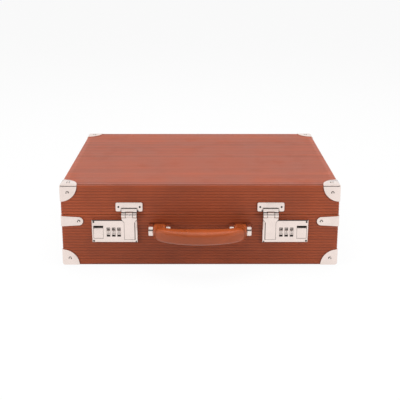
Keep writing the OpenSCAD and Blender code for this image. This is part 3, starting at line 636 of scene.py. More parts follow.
def head_of(r, h, slotted):
    """A pinned rivet or a slotted screw, its head on Z = 0."""
    bm = bmesh.new()
    lathe(bm, dome_profile(r, h), HEAD_STEPS)
    if slotted:
        for f in bm.faces:
            f.material_index = SCREW_MATERIAL
        half = r * SLOT_SHARE
        for x in (-half, half):
            cut(bm, (x, 0, 0), (1, 0, 0))
        slot_faces = [f for f in bm.faces
                      if abs(f.calc_center_median().x) < half and f.calc_center_median().z > 0]
        grown = bmesh.ops.extrude_face_region(bm, geom=slot_faces)["geom"]
        bmesh.ops.delete(bm, geom=slot_faces, context="FACES")
        for g in grown:
            if isinstance(g, bmesh.types.BMVert):
                g.co.z = max(SLOT_FLOOR, min(g.co.z, SLOT_HEIGHT * h))
            # The slot's walls and floor get painted shade
            if isinstance(g, bmesh.types.BMFace):
                g.material_index = DARK_MATERIAL
    else:
        # Two dark pins stand for the holes of a pinned head, as painted shade
        for x in (-r * PIN_PLACE, r * PIN_PLACE):
            before = set(bm.faces)
            bmesh.ops.create_cone(
                bm, cap_ends=True, segments=12, radius1=r * PIN_SHARE, radius2=r * PIN_SHARE,
                depth=h * PIN_DEPTH, matrix=Matrix.Translation((x, 0.0, h * PIN_HEIGHT)))
            for f in set(bm.faces) - before:
                f.material_index = DARK_MATERIAL
    bmesh.ops.recalc_face_normals(bm, faces=bm.faces)
    return mesh_from(bm, "head")


# Places in the material list of the heads; the dark one is painted shade in slots and pin holes
DARK_MATERIAL, SCREW_MATERIAL = 1, 2
HEAD_STEPS = 24
DOME_STEPS = 6
HEAD_SUNK = 0.0003
# The two pins of a rivet, as shares of the head's radius and height
PIN_PLACE = 0.55
PIN_SHARE = 0.42
PIN_DEPTH = 0.8
PIN_HEIGHT = 0.42
# A screw's slot: half width and height as shares of the head, and its lowest floor
SLOT_SHARE = 0.42
SLOT_HEIGHT = 0.3
SLOT_FLOOR = 0.00005
# Heads with a smaller radius are screws
SCREW_LIMIT = 0.0022


def build_fasteners(node, middle):
    """Rivets and slotted screws where the CAD node has its plain domes."""
    bm = bmesh.new()
    heads = {}
    for count, (low, high) in enumerate(islands(node)):
        size = high - low
        axis = min(range(3), key=lambda k: size[k])
        r, h = max(size[k] for k in range(3) if k != axis) / 2, size[axis]
        kind = (round(r, 4), r < SCREW_LIMIT)
        if kind not in heads:
            heads[kind] = head_of(r, h, kind[1])
        out = Vector((0, 0, 0))
        centre = (low + high) / 2
        out[axis] = 1.0 if centre[axis] > middle[axis] else -1.0
        foot = centre.copy()
        foot[axis] = low[axis] if out[axis] > 0 else high[axis]
        turned = out.to_track_quat("Z", "Y").to_matrix().to_4x4()
        turn = Matrix.Rotation(math.radians(TURNS[count % len(TURNS)]), 4, "Z")
        bmesh.ops.transform(bm, matrix=Matrix.Translation(foot) @ turned @ turn,
                            verts=add_mesh(bm, heads[kind]))
    for mesh in heads.values():
        bpy.data.meshes.remove(mesh)
    return finish_piece(bm, node, "finished", [nickel(), recess(), screw_steel()], 30.0)


# How far each head is turned, in degrees from level
TURNS = (4, -9, 7, -3, 11, -6, 2, -12)


def case_rings(z_open, z_closed, settings):
    """Steps of a cover's wall from its open edge to its flat side: inset, height and painted
    groove shade.
    """
    pitch, depth, roll = settings.rib_pitch, settings.rib_depth, settings.edge
    turn = 1.0 if z_closed > z_open else -1.0
    straight = abs(z_closed - z_open) - roll
    rings = list(OPEN_EDGE)
    count = int((straight - PLAIN_EDGE) / (pitch / RIB_STEPS))
    for k in range(1, count):
        run = PLAIN_EDGE + k * pitch / RIB_STEPS
        low = rib_valley(run / pitch) * border_fade(min(run, straight - run), pitch)
        # The groove value is painted shade, as deep as the rib's groove
        rings.append((depth * low, run, low))
    for k in range(ROLL_STEPS + 1):
        a = math.radians(90.0 * k / ROLL_STEPS)
        # Painted shade on the base's bottom roll, growing as it turns to face the floor
        bottom_shade = BOTTOM_EDGE_SHADE * k / ROLL_STEPS if turn < 0 else 0.0
        rings.append((roll * (1.0 - math.cos(a)), straight + roll * math.sin(a), bottom_shade))
    top = straight + roll
    for across, down, groove in CREASE:
        rings.append((roll + across, top - down, groove))
    return [(inset, z_open + turn * run, groove) for inset, run, groove in rings]


# The rolled-in open edge of a cover: inset, height and painted shade, and how far it stays plain
OPEN_EDGE = ((0.0010, 0.0, 0.6), (0.0004, 0.0002, 0.3), (0.0, 0.0008, 0.0))
PLAIN_EDGE = 0.001
RIB_STEPS = 8
ROLL_STEPS = 6
# The base's lower roll gets painted shade, darker as it turns to face the ground
BOTTOM_EDGE_SHADE = 1.3
CORNER_STEPS = 6
# The crease inside a rolled edge: distance from the roll, depth and painted shade
CREASE = ((0.0002, 0.0002, 0.6), (0.0007, 0.0007, 1.0), (0.0029, 0.0012, 1.0),
          (0.0030, 0.0001, 1.0), (0.0033, 0.0, 0.2), (0.0038, 0.0, 0.0))
# At the sides the crease is hardly there
SIDE_CREASE = 0.15


def rib_valley(turns):
    """0 on the crest of a rib and 1 in the groove beside it."""
    return 1.0 - abs(math.sin(math.pi * turns)) ** RIB_ROUND


def border_fade(near, pitch):
    """Fades the ribs out near the border of a side."""
    return max(0.0, min(1.0, (near - BORDER) / (RIB_FADE * pitch)))


# 1 gives round ribs, less gives broad ones with narrow grooves
RIB_ROUND = 0.6
# Plain border of a side, and the share of a rib over which the ribs fade in
BORDER = 0.0016
RIB_FADE = 0.4


def outline_loop(bm, inset, z):
    """The rounded outline of the case in plan, as one ring of edges."""
    made = bmesh.ops.create_grid(bm, x_segments=1, y_segments=1, size=0.5)
    bmesh.ops.scale(bm, vec=(CASE_W, CASE_D, 1.0), verts=made["verts"])
    roll_over(bm, list(bm.verts), bpy.context.scene.briefcase_leather.edge, CORNER_STEPS,
              "VERTICES")
    scale_ring(bm, list(bm.verts), inset, z)
    bmesh.ops.delete(bm, geom=list(bm.faces), context="FACES_ONLY")
    return list(bm.edges)


def scale_ring(bm, verts, inset, z):
    """Draws a ring of the outline in by the inset and lifts it to its height."""
    factor = ((CASE_W - 2 * inset) / CASE_W, (CASE_D - 2 * inset) / CASE_D, 0.0)
    bmesh.ops.scale(bm, vec=factor, verts=verts)
    bmesh.ops.translate(bm, vec=(0.0, 0.0, z), verts=verts)


def rib_the_cap(bm, z_cap, settings, layer):
    """Cuts the flat side of a cover into strips, presses the grooves between its ribs and paints
    shade into them.
    """
    pitch = settings.rib_pitch
    rim = settings.edge + CREASE[-1][0]
    half_w, half_d = CASE_W / 2 - rim, CASE_D / 2 - rim
    planes = [((x, 0, 0), (1, 0, 0)) for x in (-half_w + CAP_MARGIN, half_w - CAP_MARGIN)]
    steps = int(half_d / (pitch / RIB_STEPS))
    planes += [((0, k * pitch / RIB_STEPS, 0), (0, 1, 0)) for k in range(-steps, steps + 1)]
    for point, normal in planes:
        cut(bm, point, normal, [f for f in bm.faces if f.material_index == CAP])
    inward = -1.0 if z_cap > BASE_HIGH.z else 1.0
    for v in set(v for f in bm.faces if f.material_index == CAP for v in f.verts):
        if abs(v.co.x) > half_w - CAP_MARGIN / 2 or abs(v.co.y) > half_d - CAP_RIM:
            continue
        low = rib_valley(v.co.y / pitch) * border_fade(half_d - abs(v.co.y), pitch)
        v.co.z += inward * settings.rib_depth * low
        # Painted shade in the grooves between the ribs
        v[layer] = low


# Marks the faces of the flat side while a cover is made
CAP = 1
# The ribs of the flat side end this far from its left and right rim, and from the others
CAP_MARGIN = 0.003
CAP_RIM = 0.0002


def cut_openings(bm, boxes):
    """Cuts the openings for the locks out of the front wall of a cover."""
    front = FRONT_SKIN - CASE_D / 2
    for low, high in boxes:
        for x, z in ((low.x, None), (high.x, None), (None, low.z), (None, high.z)):
            faces = [f for f in bm.faces if f.calc_center_median().y < front]
            if z is None:
                cut(bm, (x, 0, 0), (1, 0, 0), faces)
            else:
                cut(bm, (0, 0, z), (0, 0, 1), faces)
        inside = []
        for f in bm.faces:
            c = f.calc_center_median()
            if c.y < front and low.x < c.x < high.x and low.z < c.z < high.z:
                inside.append(f)
        bmesh.ops.delete(bm, geom=inside, context="FACES")


# Faces nearer to the front than this belong to the front wall
FRONT_SKIN = 0.001


def inset_of(verts):
    """Inset of a ring of the outline, from its widest vertex."""
    return CASE_W / 2 - max(v.co.x for v in verts)


def soften_sides(bm, z_cap, settings, layer):
    """Takes most of the crease out of the left and right rim of a cover's flat side."""
    side = CASE_W / 2 - settings.edge
    inner, outer = side - CREASE[-1][0], side - CREASE[0][0] / 2
    for v in bm.verts:
        deep = v.co.z - z_cap
        if inner < abs(v.co.x) < outer and abs(deep) < settings.edge:
            v[layer] *= SIDE_CREASE
            v.co.z = z_cap + SIDE_CREASE * deep


def build_cover(node, z_open, z_closed, openings=()):
    """A ribbed leather cover: a wall swept up from its open edge and a ribbed flat side."""
    settings = bpy.context.scene.briefcase_leather
    bm = bmesh.new()
    layer = bm.verts.layers.float.new("groove")
    rings = case_rings(z_open, z_closed, settings)
    edges = outline_loop(bm, rings[0][0], rings[0][1])
    for v in bm.verts:
        v[layer] = rings[0][2]
    for inset, z, groove in rings[1:]:
        grown = bmesh.ops.extrude_edge_only(bm, edges=edges)["geom"]
        verts = [g for g in grown if isinstance(g, bmesh.types.BMVert)]
        edges = [g for g in grown if isinstance(g, bmesh.types.BMEdge)]
        old = 2 * inset_of(verts)
        undo = (CASE_W / (CASE_W - old), CASE_D / (CASE_D - old), 0.0)
        bmesh.ops.scale(bm, vec=undo, verts=verts)
        scale_ring(bm, verts, inset, z)
        # Each ring carries its painted groove shade
        for v in verts:
            v[layer] = groove
    for f in bmesh.ops.contextual_create(bm, geom=edges)["faces"]:
        f.material_index = CAP
    cut_openings(bm, openings)
    rib_the_cap(bm, z_closed, settings, layer)
    soften_sides(bm, z_closed, settings, layer)
    for f in bm.faces:
        f.material_index = 0
    bmesh.ops.recalc_face_normals(bm, faces=bm.faces)
    middle = max(bm.faces, key=lambda f: abs(f.calc_center_median().z - z_open))
    if middle.normal.z * (z_closed - z_open) < 0:
        bmesh.ops.reverse_faces(bm, faces=bm.faces)
    bmesh.ops.solidify(bm, geom=list(bm.faces), thickness=settings.skin)
    bmesh.ops.translate(bm, vec=(0.0, MIDDLE_Y, 0.0), verts=bm.verts)
    return finish_piece(bm, node, "leather", [case_leather()])


class BRIEFCASE_OT_leather(bpy.types.Operator):
    """Cover the base and the lid in ribbed leather"""
    bl_idname = "briefcase.leather"
    bl_label = "Leather Covers"

    def execute(self, context):
        room = Vector((OPENING_ROOM,) * 3)
        openings = []
        for side in SIDES:
            low, high = corners("lock_case_" + side)
            openings.append((low - room, high + room))
        build_cover("base_cover", BASE_HIGH.z, BASE_LOW.z, openings)
        build_cover("lid_cover", LID_LOW.z, LID_HIGH.z)
        return {"FINISHED"}


OPENING_ROOM = 0.0002


def build_spring(side):
    """The coil that a sliding button presses together against the top of its lock case."""
    node = "slider_spring_" + side
    low, high = corners(node)
    r, length = (high.x - low.x) / 2, high.z - low.z
    wire = r * SPRING_WIRE
    bm = bmesh.new()
    at_side = Matrix.Translation((r - wire, 0.0, wire)) @ Matrix.Rotation(math.pi / 2, 4, "X")
    bmesh.ops.create_circle(bm, cap_ends=False, segments=8, radius=wire, matrix=at_side)
    steps = SPRING_TURNS * TURN_STEPS
    bmesh.ops.spin(
        bm, geom=list(bm.verts) + list(bm.edges), cent=(0, 0, 0), axis=(0, 0, 1),
        dvec=(0, 0, (length - 2 * wire) / steps), angle=2 * math.pi * SPRING_TURNS,
        steps=steps, use_duplicate=False)
    bmesh.ops.holes_fill(bm, edges=[e for e in bm.edges if e.is_boundary], sides=0)
    bmesh.ops.recalc_face_normals(bm, faces=bm.faces)
    middle = (low + high) / 2
    bmesh.ops.translate(bm, vec=(middle.x, middle.y, low.z), verts=bm.verts)
    piece = finish_piece(bm, node, "coil", [steel()])
    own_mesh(piece)


# The wire's radius as a share of the coil's, its turns, and the steps of each turn
SPRING_WIRE = 0.24
SPRING_TURNS = 5
TURN_STEPS = 14

PLAIN_STEEL = ("dial_shafts", "handle_core", "hinge_pin")
LOCK_CASES = ("lock_case_left", "lock_case_right")
NICKEL_PARTS = (
    "side_clip_left", "side_clip_right", "lock_plate_left", "lock_plate_right",
    "handle_bracket_left", "handle_bracket_right", "hinge_leaf_base", "hinge_leaf_lid",
    "hasp_plate_left", "hasp_plate_right", "hasp_left", "hasp_right", "slider_left",
    "slider_right")
STEEL_PARTS = ("stay_left", "stay_right", "stay_keepers", "stay_pivots", "handle_pins",
               "hasp_pins")
CORNER_PLACES = ("front_left", "front_right", "back_left", "back_right")
CORNER_EDGE = 0.0003
STEEL_EDGE = 0.00012


def darken_lock(piece, node):
    """Paints shade on the walls of a lock plate's windows and beds."""
    low, high = corners(node)

    def deep(c, n):
        inside = (low.x + LOCK_RIM < c.x < high.x - LOCK_RIM
                  and low.z + LOCK_RIM < c.z < high.z + LOCK_RIM)
        return inside and c.y > low.y + LOCK_FACE and c.z < high.z - LOCK_FACE / 2
    darken(piece, deep)


def darken_hasp(piece, node):
    """Paints shade into the gaps between the knuckles and round the raised leaf."""
    low, high = corners(node)

    def gap(c, n):
        if min(c.x - low.x, high.x - c.x) < HASP_SIDE:
            return False
        level = low.z + HASP_END < c.z < high.z - HASP_END
        return abs(n.x) > 0.9 or (-0.5 < n.y < 0.9 and level)
    darken(piece, gap)


# Rim of a lock plate that gets no painted shade, and the depth of its face that gets none
LOCK_RIM = 0.0016
LOCK_FACE = 0.0004
# Sides and ends of a hasp that get no painted shade
HASP_SIDE = 0.0006
HASP_END = 0.001
# Faces of a button deeper than this behind its front get painted shade
BUTTON_BEVEL = 0.0011


class BRIEFCASE_OT_hardware(bpy.types.Operator):
    """Finish the corners, locks, hasps, brackets, hinge, stays, screws and rivets"""
    bl_idname = "briefcase.hardware"
    bl_label = "Metal Parts"

    def execute(self, context):
        for node in PLAIN_STEEL:
            paint_node(node, steel())
        # The lock cases get the painted shade of the recesses all over
        for node in LOCK_CASES:
            paint_node(node, recess())
        for side in SIDES:
            build_spring(side)
        for node in NICKEL_PARTS:
            piece = soften(node, nickel())
            if node.startswith("lock_plate"):
                darken_lock(piece, node)
            elif node.startswith("hasp"):
                darken_hasp(piece, node)
            elif node.startswith("slider"):
                # A button's faces behind its bevel get painted shade
                face = corners(node)[0].y
                darken(piece, lambda c, n: c.y > face + BUTTON_BEVEL)
        middle = (BASE_LOW + LID_HIGH) / 2
        for half in ("base", "lid"):
            build_fasteners(half + "_fasteners", middle)
        for half in ("base", "lid"):
            for place in CORNER_PLACES:
                soften(f"corner_{half}_{place}", nickel(), CORNER_EDGE)
        for node in STEEL_PARTS:
            soften(node, steel(), STEEL_EDGE)
        return {"FINISHED"}


def number_mesh(text, height, r):
    """One number as a thin solid bent round the front of a dial of radius r."""
    curve = bpy.data.curves.new("number", "FONT")
    curve.body = text
    curve.size = height / DIGIT_SHARE
    curve.align_x = "CENTER"
    curve.extrude = DIGIT_RISE
    curve.resolution_u = 3
    writing = place_object("number", curve)
    mesh = mesh_of(writing)
    bpy.data.objects.remove(writing)
    bpy.data.curves.remove(curve)
    bm = bmesh.new()
    bm.from_mesh(mesh)
    bmesh.ops.translate(bm, vec=(0, -height / 2, 0), verts=bm.verts)
    for k in range(-DIGIT_CUTS, DIGIT_CUTS + 1):
        cut(bm, (0, k * height / (2 * DIGIT_CUTS), 0), (0, 1, 0))
    for v in bm.verts:
        a = v.co.y / r
        v.co = Vector((v.co.x, -(r + v.co.z) * math.cos(a), (r + v.co.z) * math.sin(a)))
    for f in bm.faces:
        f.material_index = 1
    bm.to_mesh(mesh)
    bm.free()
    return mesh


# A digit's height as a share of the letter size, its rise, and the cuts that let it bend
DIGIT_SHARE = 0.7
DIGIT_RISE = 0.00006
DIGIT_CUTS = 3


def build_dial(node, numbers):
    """A number dial with notched, rolled rims and numbers that follow its round."""
    marks = bpy.context.scene.briefcase_metal.marks
    low, high = corners(node)
    r, step = (high.z - low.z) / 2, 2 * math.pi / marks
    bm = bmesh.new()
    bmesh.ops.create_cone(
        bm, cap_ends=True, segments=marks * DIAL_STEPS, radius1=r, radius2=r,
        depth=high.x - low.x, matrix=Matrix.Rotation(math.pi / 2, 4, "Y"))
    for v in bm.verts:
        turns = math.atan2(v.co.z, v.co.y) / step
        if abs(turns - math.floor(turns) - 0.5) < NOTCH_SHARE:
            v.co.yz *= (r - DIAL_NOTCH) / r
    rims = [e for e in bm.edges if abs(e.verts[0].co.x - e.verts[1].co.x) < SAME_PLACE
            and len(e.link_faces) == 2 and e.calc_face_angle(0.0) > 1.0]
    roll_over(bm, rims, DIAL_EDGE, 2)
    for k, number in enumerate(numbers):
        bmesh.ops.rotate(bm, cent=(0, 0, 0), matrix=Matrix.Rotation(k * step, 3, "X"),
                         verts=add_mesh(bm, number))
    bmesh.ops.translate(bm, vec=(low + high) / 2, verts=bm.verts)
    return finish_piece(bm, node, "finished",
                        [nickel(), ink_material("number_paint")], 30.0)


# Steps of a dial's round for each number, and the notch half way between two numbers
DIAL_STEPS = 12
NOTCH_SHARE = 0.05
DIAL_NOTCH = 0.00045
DIAL_EDGE = 0.0004


class BRIEFCASE_OT_dials(bpy.types.Operator):
    """Make the number dials of both locks"""
    bl_idname = "briefcase.dials"
    bl_label = "Number Dials"

    def execute(self, context):
        settings = context.scene.briefcase_metal
        low, high = corners("dial_left_1")
        numbers = [number_mesh(str(k), settings.digit, (high.z - low.z) / 2)
                   for k in range(settings.marks)]
        for side in SIDES:
            for i in (1, 2, 3):
                build_dial(f"dial_{side}_{i}", numbers)
        for mesh in numbers:
            bpy.data.meshes.remove(mesh)
        return {"FINISHED"}


def grip_stations():
    """Stations along the grip: place, direction, half width and half height, end to end."""
    low, high = corners("handle_grip")
    pin = islands("handle_pins")[0]
    x = abs((pin[0].x + pin[1].x) / 2)
    y, z = (pin[0].y + pin[1].y) / 2, (low.z + high.z) / 2
    end_w, drum = high.x - x, GRIP_END_T / 2
    out = y - low.y - GRIP_W / 2
    a, b = (Vector((x, drum + rise)) for rise in GRIP_RISE)
    c, d = (Vector((x * share, out)) for share in GRIP_SPREAD)
    half = [(Vector((x, 0.0)), Vector((0.0, 1.0)), end_w, drum)]
    for k in range(GRIP_STEPS + 1):
        t = k / GRIP_STEPS
        u = 1 - t
        place = u ** 3 * a + 3 * u * u * t * b + 3 * u * t * t * c + t ** 3 * d
        way = (u * u * (b - a) + 2 * u * t * (c - b) + t * t * (d - c)).normalized()
        wide = end_w + (GRIP_W / 2 - end_w) * (1 - u * u) - GRIP_WAIST * 4 * t * u
        half.append((place, way, wide, drum + ((high.z - low.z) / 2 - drum) * t))
    whole = half + [(Vector((-p.x, p.y)), Vector((w.x, -w.y)), *sizes)
                    for p, w, *sizes in reversed(half)]
    return [(Vector((p.x, y - p.y, z)), Vector((w.x, -w.y, 0.0)), *sizes)
            for p, w, *sizes in whole]


# The grip's bend has four guides: two over the pin, at these rises from the drum's radius,
# and two on the straight middle, at these shares of the pin's place
GRIP_RISE = (-0.0005, 0.006)
GRIP_SPREAD = (0.70, 0.14)


def soft_power(v, power):
    return math.copysign(abs(v) ** power, v)


def grip_ring(verts, station, power, swell=1.0):
    """Lays a ring of vertices round a station of the grip as a rounded section."""
    place, way, wide, thick = station
    across = Vector((way.y, -way.x, 0.0))
    for k, v in enumerate(verts):
        a = 2 * math.pi * (k + 0.5) / GRIP_SIDES
        v.co = (place + across * soft_power(math.cos(a), power) * wide * swell
                + Vector((0, 0, soft_power(math.sin(a), power) * thick * swell)))


def build_grip():
    """The leather grip: a swept rounded section with seams, and rolled drums at its ends."""
    bm = bmesh.new()
    layer = bm.verts.layers.float.new("groove")
    stations = grip_stations()
    made = bmesh.ops.create_circle(bm, cap_ends=False, segments=GRIP_SIDES, radius=1.0)["verts"]
    edges = list(bm.edges)
    grip_ring(made, stations[0], GRIP_END_POWER)
    order = {v: k for k, v in enumerate(made)}
    last = len(stations) - 1
    for n, station in enumerate(stations[1:], 1):
        grown = bmesh.ops.extrude_edge_only(bm, edges=edges)["geom"]
        verts = [g for g in grown if isinstance(g, bmesh.types.BMVert)]
        edges = [g for g in grown if isinstance(g, bmesh.types.BMEdge)]
        matched = {}
        for v in verts:
            below = next(e.other_vert(v) for e in v.link_edges if e.other_vert(v) in order)
            matched[v] = order[below]
        ring = sorted(verts, key=lambda v: matched[v])
        seam = GRIP_SEAM in (n, last - n)
        inner = min(n, last - n, GRIP_STEPS // 2) / (GRIP_STEPS // 2)
        power = GRIP_END_POWER + (GRIP_POWER - GRIP_END_POWER) * inner
        grip_ring(ring, station, power, SEAM_DEPTH if seam else 1.0)
        for v in ring:
            v[layer] = SEAM_STAIN if seam else 0.0
        order = matched
    bmesh.ops.holes_fill(bm, edges=list(bm.edges), sides=GRIP_SIDES + 1)
    for place, _, wide, _ in (stations[0], stations[-1]):
        turn = Matrix.Translation(place) @ Matrix.Rotation(math.pi / 2, 4, "Y")
        drum = bmesh.ops.create_cone(
            bm, cap_ends=True, segments=64, radius1=GRIP_END_T / 2, radius2=GRIP_END_T / 2,
            depth=2 * wide, matrix=turn)["verts"]
        rims = set(e for v in drum for e in v.link_edges
                   if e.calc_face_angle(0.0) > math.radians(60))
        roll_over(bm, list(rims), DRUM_EDGE, 6)
    bmesh.ops.recalc_face_normals(bm, faces=bm.faces)
    return finish_piece(bm, "handle_grip", "leather", [grip_leather()], 50.0)


# Thickness of the grip's rolled ends, width of its middle, and how far it narrows between them
GRIP_END_T = 0.020
GRIP_W = 0.026
GRIP_WAIST = 0.0022
DRUM_EDGE = 0.003
# 1 is an oval section, less is squarer
GRIP_POWER = 0.68
GRIP_END_POWER = 0.9
GRIP_STEPS = 20
GRIP_SIDES = 40
# The station of the seam from each end, how far it draws the section in, and its stain
GRIP_SEAM = 4
SEAM_DEPTH = 0.975
SEAM_STAIN = 0.85


class BRIEFCASE_OT_handle(bpy.types.Operator):
    """Make the leather handle"""
    bl_idname = "briefcase.handle"
    bl_label = "Handle"

    def execute(self, context):
        build_grip()
        return {"FINISHED"}


class BRIEFCASE_OT_interior(bpy.types.Operator):
    """Finish the boards, the linings, the tray and its dividers"""
    bl_idname = "briefcase.interior"
    bl_label = "Interior"

    def execute(self, context):
        for half in ("base", "lid"):
            paint_node(half + "_shell", board())
        for half in ("base", "lid"):
            paint_node(half + "_lining", suede())
        for node, slot, width, segments in SUEDE_PARTS:
            soften(node, suede(), width, segments)
        return {"FINISHED"}


# Suede-covered parts: node, slot, and radius and steps of the rolled edges
SUEDE_PARTS = (
    ("base_rim", "board", 0.0008, 3), ("tray_floor", "board", 0.0003, 2),
    ("long_dividers", "suede", 0.0008, 3), ("cross_dividers", "suede", 0.0008, 3))


def mesh_of(thing):
    """A plain mesh of an object as its modifiers leave it."""
    bpy.context.view_layer.update()
    depsgraph = bpy.context.evaluated_depsgraph_get()
    return bpy.data.meshes.new_from_object(thing.evaluated_get(depsgraph))


def stuffed_mesh(size, voxel, swell, quality):
    """A cushion blown up by a cloth simulation, of a given size about the origin."""
    bm = bmesh.new()
    bmesh.ops.create_cube(bm, size=1.0)
    start = Vector(c - swell for c in size)
    bmesh.ops.scale(bm, vec=start, verts=bm.verts)
    roll_over(bm, list(bm.edges), STUFFED_ROUND * min(start), 4)
    thing = place_object("stuffed", mesh_from(bm, "stuffed"))
    remesh = thing.modifiers.new("remesh", "REMESH")
    remesh.mode = "VOXEL"
    remesh.voxel_size = voxel
    thing.data = mesh_of(thing)
    thing.modifiers.clear()
    before = [v.co.copy() for v in thing.data.vertices]
    cloth = thing.modifiers.new("cloth", "CLOTH")
    cloth.settings.use_pressure = True
    cloth.settings.uniform_pressure_force = PRESSURE
    cloth.settings.quality = quality
    cloth.settings.bending_stiffness = STIFFNESS
    cloth.settings.effector_weights.gravity = 0.0
    scene = bpy.context.scene
    for step in range(1, SIM_STEPS + 1):
        scene.frame_set(step)
    swollen = mesh_of(thing)
    thing.modifiers.clear()
    thing.data = swollen
    scene.frame_set(1)
    for v, old in zip(swollen.vertices, before):
        moved = v.co - old
        if moved.length > swell:
            v.co = old + moved * (swell / moved.length)
    smooth = thing.modifiers.new("smooth", "SUBSURF")
    smooth.levels = smooth.render_levels = 1
    finished = mesh_of(thing)
    bpy.data.objects.remove(thing)
    low = Vector(min(v.co[k] for v in finished.vertices) for k in range(3))
    high = Vector(max(v.co[k] for v in finished.vertices) for k in range(3))
    for v in finished.vertices:
        v.co = Vector((v.co[k] - (low[k] + high[k]) / 2) * size[k] / (high[k] - low[k])
                      for k in range(3))
    return finished


STUFFED_ROUND = 0.28
PRESSURE = 4.0
STIFFNESS = 0.6
SIM_STEPS = 20


def press_seam(mesh, depth, width):
    """Presses the sewn seam round a cushion's middle height."""
    for v in mesh.vertices:
        near = max(0.0, 1.0 - abs(v.co.z) / width)
        flat = Vector((v.co.x, v.co.y, 0.0))
        v.co -= flat.normalized() * depth * near * near


def press_border(mesh, half, inset, depth, width):
    """Presses the sewn line that runs inside the border of a pad's lower face."""
    below = [v for v in mesh.vertices if v.normal.z < 0.2]
    for v in below:
        off = min(half.x - inset - abs(v.co.x), half.y - inset - abs(v.co.y))
        near = max(0.0, 1.0 - abs(off) / width)
        v.co.z += depth * near * near


def build_cushions():
    """A row of stuffed watch cushions for each CAD node, no two quite the same."""
    settings = bpy.context.scene.briefcase_lining
    cells = [islands(node) for node in CUSHION_ROWS]
    low, high = cells[0][0]
    master = stuffed_mesh(high - low, settings.voxel, settings.swell, quality=6)
    press_seam(master, depth=0.0011, width=0.0026)
    for row, (node, boxes) in enumerate(zip(CUSHION_ROWS, cells)):
        bm = bmesh.new()
        for column, (low, high) in enumerate(boxes):
            seed = Vector((3.1 * column, 7.7 * row, 1.3 * (column + row)))
            turn = -1.0 if (row + column) % 2 else 1.0
            for v in add_mesh(bm, master):
                place = Vector((v.co.x * turn, v.co.y * turn, v.co.z))
                dent = min(0.0, noise.noise(place * DENT_SCALE + seed))
                v.co = (low + high) / 2 + place * (1.0 + DENT * dent)
        piece = finish_piece(bm, node, "stuffed", [cushion_suede()], 80.0)
    bpy.data.meshes.remove(master)


CUSHION_ROWS = ("cushions_front", "cushions_middle", "cushions_back")
# Depth and fineness of the dents
DENT = 0.05
DENT_SCALE = 34.0


def build_lid_pad():
    """The padded panel of the lid, sewn down inside its border."""
    settings = bpy.context.scene.briefcase_lining
    low, high = corners("lid_pad")
    mesh = stuffed_mesh(high - low, settings.voxel * 1.5, settings.swell, quality=3)
    press_border(mesh, (high - low) / 2, inset=0.022, depth=0.005, width=0.008)
    bm = bmesh.new()
    bm.from_mesh(mesh)
    bmesh.ops.translate(bm, vec=(low + high) / 2, verts=bm.verts)
    bpy.data.meshes.remove(mesh)
    piece = finish_piece(bm, "lid_pad", "stuffed", [cushion_suede()], 80.0)


class BRIEFCASE_OT_cushions(bpy.types.Operator):
    """Stuff the watch cushions and the pad of the lid"""
    bl_idname = "briefcase.cushions"
    bl_label = "Cushions"

    def execute(self, context):
        build_cushions()
        build_lid_pad()
        return {"FINISHED"}


def area_lamp(name, place, aim, size, depth, power):
    """A soft lamp at a place, turned to its aim: square, or a strip of a given depth."""
    lamp = bpy.data.lights.new(name, "AREA")
    lamp.size = size
    if depth:
        lamp.shape = "RECTANGLE"
        lamp.size_y = depth
    lamp.energy = power
    thing = place_object(name, lamp)
    thing.location = place
    thing.rotation_euler = (Vector(aim) - Vector(place)).to_track_quat("-Z", "Y").to_euler()
    thing.visible_glossy = False
    return thing


# Lamps: name, place, aim, size, depth of a strip, and the setting that holds its power
LAMPS = (
    ("lamp_top", (0.0, 0.25, 1.6), (0.0, 0.0, 0.1), 1.6, None, "top_lamp"),
    ("lamp_strip", (0.0, -0.8, 1.2), (0.0, -0.14, 0.07), 1.5, 0.36, "strip_lamp"),
    ("lamp_left", (-0.62, -0.42, 0.28), (-0.15, -0.14, 0.06), 0.3, None, "side_lamp"),
    ("lamp_right", (0.62, -0.42, 0.28), (0.15, -0.14, 0.06), 0.3, None, "side_lamp"))


class BRIEFCASE_OT_stage(bpy.types.Operator):
    """Set up the pale floor, the soft light and the camera"""
    bl_idname = "briefcase.stage"
    bl_label = "Stage"

    def execute(self, context):
        scene = context.scene
        settings = scene.briefcase_stage
        bm = bmesh.new()
        bmesh.ops.create_grid(bm, x_segments=1, y_segments=1, size=FLOOR_SIZE)
        floor = place_object("floor", mesh_from(bm, "floor"))
        floor.data.materials.append(floor_material(tuple(settings.floor)))
        lamps = [area_lamp(*lamp, getattr(settings, power)) for *lamp, power in LAMPS]
        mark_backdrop(floor, *lamps)
        white_world(scene, settings.ambient)
        lens = bpy.data.cameras.new("camera")
        lens.lens = settings.lens
        lens.sensor_width = SENSOR
        lens.shift_y = CAMERA_SHIFT
        scene.camera = place_object("camera", lens)
        scene.camera.location = CAMERA_PLACE
        scene.camera.rotation_euler = (math.radians(CAMERA_TILT), 0.0, 0.0)
        scene.view_settings.view_transform = "Standard"
        return {"FINISHED"}


FLOOR_SIZE = 12.0
SENSOR = 36.0
CAMERA_PLACE = (0.0, -1.21415, 0.4872)
CAMERA_TILT = 75.26
CAMERA_SHIFT = -0.15


def floor_material(colour):
    """A pale studio floor: white to the camera and to mirrors, darker to the light it bounces."""
    material, tree, shader, coords = new_material("floor")
    cloud = noise_node(tree, coords["Object"], 3.0)
    feed(tree, shader, Base_Color=mix_colour(tree, cloud, colour, shade(colour, 0.97)),
         Roughness=0.9, Specular_IOR_Level=0.1)
    path = tree.nodes.new("ShaderNodeLightPath").outputs
    seen = math_node(tree, "MAXIMUM", path["Is Camera Ray"], path["Is Glossy Ray"])
    white = add_node(tree, "ShaderNodeEmission", Strength=1.0)
    mixed = tree.nodes.new("ShaderNodeMixShader")
    parts = (math_node(tree, "MULTIPLY", seen, FLOOR_WHITE), shader.outputs[0], white.outputs[0])
    for value, socket in zip(parts, mixed.inputs):
        put(tree, value, socket)
    feed(tree, tree.nodes["Material Output"], Surface=mixed.outputs[0])
    return material


FLOOR_WHITE = 0.93


